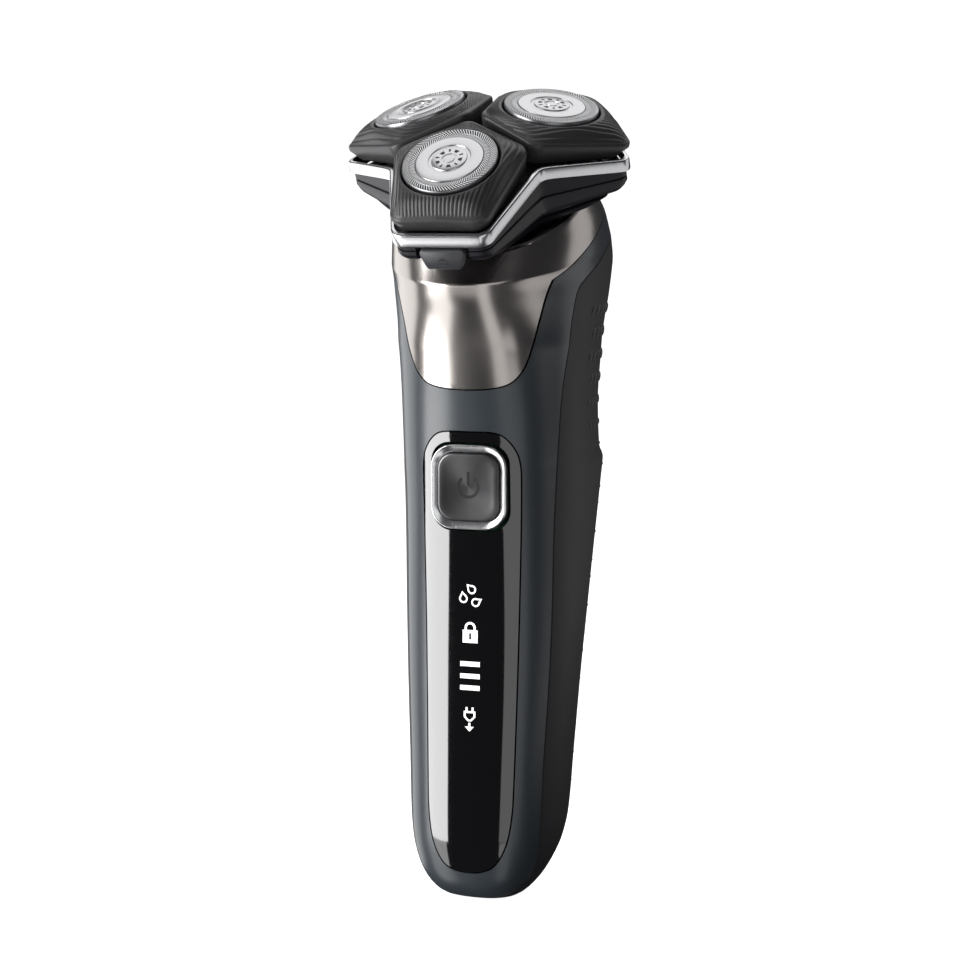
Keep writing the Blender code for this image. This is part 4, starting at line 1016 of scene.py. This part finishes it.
MARK_Z, MARK_HALF = -15.5, 1.25
mark = flat_marks("mark", [[(-MARK_HALF, MARK_Z - 0.1), (MARK_HALF, MARK_Z - 0.1), (0, MARK_Z + 0.75)],
                           bar(-MARK_HALF, MARK_Z - 0.75, MARK_HALF, MARK_Z - 0.4)],
                  HEAD, TAB_FACE - 0.02, TAB_FACE + 0.2)
dressed(mark, "release_mark", "release_tab", "black_gloss", ink)

# --- Trim ring and frame --------------------------------------------------------------------------
# A satin silver ring crowns the tub and opens with the cutting parts. A leg at the back carries
# its half of the hinge.
RING_LOW, RING_TOP = -5.9, -3.3


def ring_outline(inset):
    """The trim ring's outer line, moved inwards."""
    return lobed(28.8 - inset, 9.7 - 0.6 * inset, 18.2 - inset)


ring_inside = lobed(28.0, 9.2, 17.4)
trim = lofted("ring_look", [
    arched(ring_outline(0.25), RING_LOW), arched(ring_outline(0.06), RING_LOW + 0.1),
    arched(ring_outline(0), RING_LOW + 0.3), arched(ring_outline(0), RING_TOP - 0.4),
    arched(ring_outline(0.06), RING_TOP - 0.2), arched(ring_outline(0.2), RING_TOP - 0.06),
    arched(ring_outline(0.4), RING_TOP), arched(ring_inside, RING_TOP), arched(ring_inside, RING_LOW)],
    HEAD, hollow=True, sharp=50)
LEG_HALF, LEG_BACK = 2.2, 26.0
shape(trim, block("ring_arm", (-LEG_HALF, 16.9, -7.8), (LEG_HALF, LEG_BACK, -6.4), HEAD), "UNION")
shape(trim, block("ring_leg", (-LEG_HALF, 23.4, -12.6), (LEG_HALF, LEG_BACK, -6.6), HEAD), "UNION")
shape(trim, lathe("ring_knuckle", [(KNUCKLE, -LEG_HALF), (KNUCKLE, LEG_HALF)], HINGE_LINE, 40), "UNION")
shape(trim, lathe("ring_pin_room", [(PIN_BORE, -PIN_REACH), (PIN_BORE, PIN_REACH)], HINGE_LINE, 32))
dressed(trim, "silver_ring", "head_holder", "silver_satin", satin_silver, "trim_ring", sharp=40)
refined("retaining_frame", "frame_plate", "head_holder", 0.15, 1)

# --- Shaving pods ---------------------------------------------------------------------------------
# Each pod is a domed black bezel with fine grooves that guide hair and skin, running from the head's
# middle round the guard to the rim. In it floats a steel guard with two rings of slanted slots and
# a bright cover disc, over the spinning cutter.
POD_SIDE, POD_APEX, POD_ROUNDING = (-7.1, 14.2), -14.8, 3.2
POD_OUTER = {"front": (13.7, 9.8), "right": (14.4, 11.3), "left": (14.4, 11.3)}
FOOT_REACH = {"front": 13.7, "right": 13.2, "left": 13.2}
POD_RADIUS = 16.2
BEZEL_FOOT, BORE = -7.3, 9.85
SPOKES = 720
GROOVE_COUNT, GROOVE_DEPTH = 26, 0.2
DOME_ROWS, DOME_SWELL = 30, 1.7
RIM_ROLL, RIM_RISE = 0.55, 0.22        # the rolled rim's width, and how far it stands above the edge
SEAT_RADIUS, SEAT_HEIGHT = 10.25, -0.62    # where the dome ends round the guard


def pod_outline(label, shrink, reach=None):
    """The rounded five-sided rim of a pod, moved inwards."""
    outer, half = POD_OUTER[label]
    outer = reach or outer
    points = [Vector(p) for p in ((outer, -half), (outer, half), POD_SIDE, (POD_APEX, 0.0),
                                  (POD_SIDE[0], -POD_SIDE[1]))]
    moved = []
    for i, here in enumerate(points):
        one = (here - points[i - 1]).normalized()
        two = (points[(i + 1) % len(points)] - here).normalized()
        normal = Vector((one.y + two.y, -one.x - two.x)).normalized()
        moved.append(here - normal * shrink / normal.dot(Vector((one.y, -one.x))))
    return rounded(moved, POD_ROUNDING, 12)


def spoke_reach(outline, direction):
    """How far a spoke from the middle runs before it meets a convex outline."""
    for a, b in zip(outline, outline[1:] + outline[:1]):
        side = b - a
        denominator = direction.x * side.y - direction.y * side.x
        if abs(denominator) > 1e-9:
            reach_out = (a.x * side.y - a.y * side.x) / denominator
            along = (a.x * direction.y - a.y * direction.x) / denominator
            if reach_out > 0 and -1e-6 <= along <= 1 + 1e-6:
                return reach_out
    raise ValueError("the outline is open")


def half_width_at(label, x):
    """Half the pod's width at a place along it, with its widest corner smoothed."""
    softness = 1.5
    outer, half = POD_OUTER[label]
    from_apex = (x - POD_APEX) * POD_SIDE[1] / (POD_SIDE[0] - POD_APEX)
    from_side = POD_SIDE[1] + (x - POD_SIDE[0]) * (half - POD_SIDE[1]) / (outer - POD_SIDE[0])
    return -softness * math.log(math.exp(-from_apex / softness) + math.exp(-from_side / softness))


def smoothstep(low, high, value):
    """A smooth step, from 0 below low to 1 above high."""
    t = min(1.0, max(0.0, (value - low) / (high - low)))
    return t * t * (3 - 2 * t)


def groove_depth(label, p, share):
    """Depth of the grooves at a place on the dome; share runs from the rim to the guard."""
    half = half_width_at(label, p.x)
    wave = 0.5 - 0.5 * math.cos(math.pi * GROOVE_COUNT * p.y / max(half, 0.5))
    ends = smoothstep(0.05, 0.12, share) * (1 - smoothstep(0.86, 0.93, share))
    return GROOVE_DEPTH * wave * wave * ends * smoothstep(1.5, 4.5, half)


directions = [Vector((math.cos(2 * math.pi * i / SPOKES), math.sin(2 * math.pi * i / SPOKES)))
              for i in range(SPOKES)]


def pod_edge(p):
    """Height of the bezel's edge, lower towards its outer corners."""
    return -2.7 - 0.07 * p.x - 0.05 * abs(p.y)


def bezel_rings(label):
    """A bezel's closed loops: flat foot, wall, rolled rim, grooved dome and bore."""
    foot, rim = pod_outline(label, 0.9, FOOT_REACH[label]), pod_outline(label, 0.2)
    foot_reach = [spoke_reach(foot, d) for d in directions]
    rim_reach = [spoke_reach(rim, d) for d in directions]
    rings = [[Vector((*(d * BORE), BEZEL_FOOT)) for d in directions],
             [Vector((*(d * (r - 0.3)), BEZEL_FOOT)) for d, r in zip(directions, foot_reach)],
             [Vector((*(d * r), BEZEL_FOOT + 0.3)) for d, r in zip(directions, foot_reach)]]
    for drop, inset in ((1.0, 0.06), (0.35, 0.0), (0.08, 0.1), (-0.12, 0.3), (-RIM_RISE, RIM_ROLL)):
        ring = []
        for d, r in zip(directions, rim_reach):
            p = d * (r - inset)
            ring.append(Vector((p.x, p.y, pod_edge(d * r) - drop)))
        rings.append(ring)
    for row in range(1, DOME_ROWS + 1):
        share = row / DOME_ROWS
        ring = []
        for d, r in zip(directions, rim_reach):
            outer_place = r - RIM_ROLL
            p = d * (outer_place + (SEAT_RADIUS - outer_place) * share)
            low = pod_edge(d * r) + RIM_RISE
            height = low + (SEAT_HEIGHT - low) * (1 - (1 - share) ** DOME_SWELL)
            ring.append(Vector((p.x, p.y, height - groove_depth(label, p, share))))
        rings.append(ring)
    for radius, height in ((10.05, -0.66), (9.9, -0.82), (BORE, -1.1)):
        rings.append([Vector((*(d * radius), height)) for d in directions])
    return rings


GUARD_PROFILE = (
    (8.9, -4.6), (9.35, -4.6), (9.5, -4.45), (9.5, -0.35), (9.44, -0.14), (9.36, -0.06), (9.28, -0.05),
    (9.24, -0.1), (9.22, -0.7), (8.14, -0.7), (8.12, -0.08), (8.07, -0.03), (8.0, -0.03), (7.96, -0.08),
    (7.94, -0.7), (6.98, -0.7), (6.96, -0.08), (6.9, -0.03), (6.84, -0.03), (6.8, -0.08), (6.8, -1.0),
    (8.9, -1.0))
DISC_PROFILE = (
    (6.2, -0.6), (6.72, -0.55), (6.74, -0.02), (6.66, 0.1), (6.48, 0.16), (4.35, 0.24), (4.25, 0.2),
    (4.15, 0.04), (3.6, 0.04), (3.5, 0.22), (3.42, 0.27), (1.55, 0.31), (1.5, 0.16), (1.12, 0.16),
    (1.06, 0.3), (0.9, 0.33), (0.02, 0.34))
SLOT_BARS = 96
SLOT_EDGE = 9.22               # the recess under the slots ends here
OUTER_SLOTS, INNER_SLOTS = (8.1, 9.25, math.radians(5.0)), (6.93, 7.98, math.radians(-5.6))
bar_steel = moulded("bar_steel", 3000, 60,
                    (0.88, 0.88, 0.89), (0.80, 0.80, 0.81), (0.34, 0.42), 0.001, metallic=1.0)
# A near-black finish with two uses: painted shadow on the guard cup's floor under the slots, and the real
# dark inlays round the disc's hub.
slot_shadow_and_inlay_dark = moulded("slot_shadow_and_inlay_black", 2500, 90,
                     (0.020, 0.020, 0.021), (0.012, 0.012, 0.013), (0.5, 0.6), 0.002)
disc_metal = moulded("disc_steel", 4200, 40,
                     (0.66, 0.66, 0.67), (0.60, 0.60, 0.61), (0.28, 0.34), 0.001, metallic=1.0)


def slanted_bars(bm, inner_radius, outer_radius, slant, width=0.17, low=-0.2, high=-0.04):
    """A ring of thin standing bars, each leaning by the slant from its inner to its outer end."""
    for k in range(SLOT_BARS):
        start = 2 * math.pi * k / SLOT_BARS
        a = Vector((math.cos(start), math.sin(start))) * inner_radius
        b = Vector((math.cos(start + slant), math.sin(start + slant))) * outer_radius
        along = (b - a).normalized()
        across = Vector((-along.y, along.x)) * width / 2
        corners = [a - across, b - across, b + across, a + across]
        bottom = [bm.verts.new((p.x, p.y, low)) for p in corners]
        top = [bm.verts.new((p.x, p.y, high)) for p in corners]
        bm.faces.new(bottom[::-1])
        bm.faces.new(top)
        for i in range(4):
            j = (i + 1) % 4
            bm.faces.new((bottom[i], bottom[j], top[j], top[i]))


def disc_marks(bm):
    """Dark inlays round the disc's hub, short bars and blocks in turn."""
    for k in range(10):
        angle = math.pi * k / 5 + 0.2
        half = math.radians(4.5 if k % 2 else 11)
        inner_radius, outer_radius = (2.05, 2.85) if k % 2 else (1.95, 2.75)
        outline = [Vector((r * math.cos(a), r * math.sin(a), 0)) for r, a in
                   ((inner_radius, angle - half * 0.8), (outer_radius, angle - half),
                    (outer_radius, angle + half), (inner_radius, angle + half * 0.8))]
        skin(bm, [[p + Vector((0, 0, z)) for p in outline] for z in (0.15, 0.315)], False)


for label, azimuth in POD_AZIMUTHS.items():
    place = (HEAD @ Matrix.Rotation(math.radians(azimuth), 4, "Z")
             @ Matrix.Translation(Vector((POD_RADIUS, 0, 0)) * MM) @ Matrix.Rotation(POD_TILT, 4, "Y"))
    bezel = lofted(f"bezel_look_{label}", bezel_rings(label), place, hollow=True, sharp=45)
    dressed(bezel, f"pod_bezel_{label}", f"pod_{label}", "bezel_plastic", bezel_plastic, f"bezel_{label}")
    body = f"pod_{label}_guard"
    cup = lathe(f"cup_look_{label}", GUARD_PROFILE, place, 128, hollow=True, sharp=40)
    dressed(cup, f"guard_cup_{label}", body, "steel", steel, f"guard_{label}")
    cup.data.materials.append(slot_shadow_and_inlay_dark)
    # Painted shadow: the cup's faces under the slots take the near-black finish.
    to_pod = place.inverted()
    for face in cup.data.polygons:
        spot = to_pod @ face.center / MM
        if -0.75 < spot.z < -0.2 and Vector((spot.x, spot.y)).length < SLOT_EDGE:
            face.material_index = 1
    bm = bmesh.new()
    slanted_bars(bm, *OUTER_SLOTS)
    slanted_bars(bm, *INNER_SLOTS)
    dressed(solid(f"bars_{label}", bm, place), f"guard_bars_{label}", body, "steel", bar_steel)
    disc = lathe(f"disc_look_{label}", DISC_PROFILE, place, 128, sharp=35)
    dressed(disc, f"guard_disc_{label}", body, "steel", disc_metal)
    bm = bmesh.new()
    disc_marks(bm)
    dressed(solid(f"marks_{label}", bm, place), f"disc_marks_{label}", body, "dark_metal", slot_shadow_and_inlay_dark)

# --- Lights ---------------------------------------------------------------------------------------
# Large soft boxes: a key at the left front, a dim fill at the right, one overhead and one behind.
# The uprights reach below floor height, so that their mirror images run the whole length of the
# handle; the floor is there for the camera only.


def softbox(name, spot, target, width, height, watts):
    """An area light at a spot, facing a target; sizes and places in metres."""
    spot, target = Vector(spot), Vector(target)
    bpy.ops.object.light_add(type="AREA", location=spot,
                             rotation=(spot - target).to_track_quat("Z", "Y").to_euler())
    lamp = bpy.context.object
    lamp.name = name
    lamp.data.shape = "RECTANGLE"
    lamp.data.size, lamp.data.size_y = width, height
    lamp.data.energy = watts
    lamp.visible_camera = False


def round_about(azimuth, distance, height):
    """A place round the object; azimuth 0 is straight in front, positive to the right."""
    a = math.radians(azimuth)
    return (distance * math.sin(a), -distance * math.cos(a), height)


def standing_box(name, azimuth, distance, low, high, width, radiance):
    """An upright soft box that faces the object from one side, between two heights."""
    middle = (low + high) / 2
    softbox(name, round_about(azimuth, distance, middle), (0, 0, middle), width, high - low,
            4 * radiance * width * (high - low))


standing_box("key_left", -51, 0.40, -0.08, 0.36, 0.27, 5.0)
standing_box("key_low", -51, 0.40, -0.45, -0.08, 0.24, 1.6)
standing_box("side_left", -112, 0.45, -0.23, 0.27, 0.34, 1.2)
standing_box("fill_right", 27, 0.42, -0.08, 0.33, 0.27, 0.65)
standing_box("fill_low", 20, 0.42, -0.45, -0.08, 0.14, 0.8)
softbox("card_front", (-0.018, -0.062, 0.1), (-0.018, -0.062, 1.0), 0.056, 0.026, 0.0035)
softbox("card_back_right", (0.32, 0.16, 0.004), (0.32, 0.16, 1.0), 0.4, 0.5, 0.42)
softbox("overhead", (-0.05, 0.25, 0.70), (0, 0, 0.12), 0.8, 1.0, 2.9)
softbox("back_right", (0.55, 0.45, 0.25), (0, 0, 0.1), 0.4, 0.6, 0.5)

AIR_GLOW = 0.04                # what little light the dim room adds
world = bpy.data.worlds.new("studio_air")
world.use_nodes = True
world.node_tree.nodes["Background"].inputs["Color"].default_value = (0.9, 0.92, 1.0, 1)
world.node_tree.nodes["Background"].inputs["Strength"].default_value = AIR_GLOW
bpy.context.scene.world = world
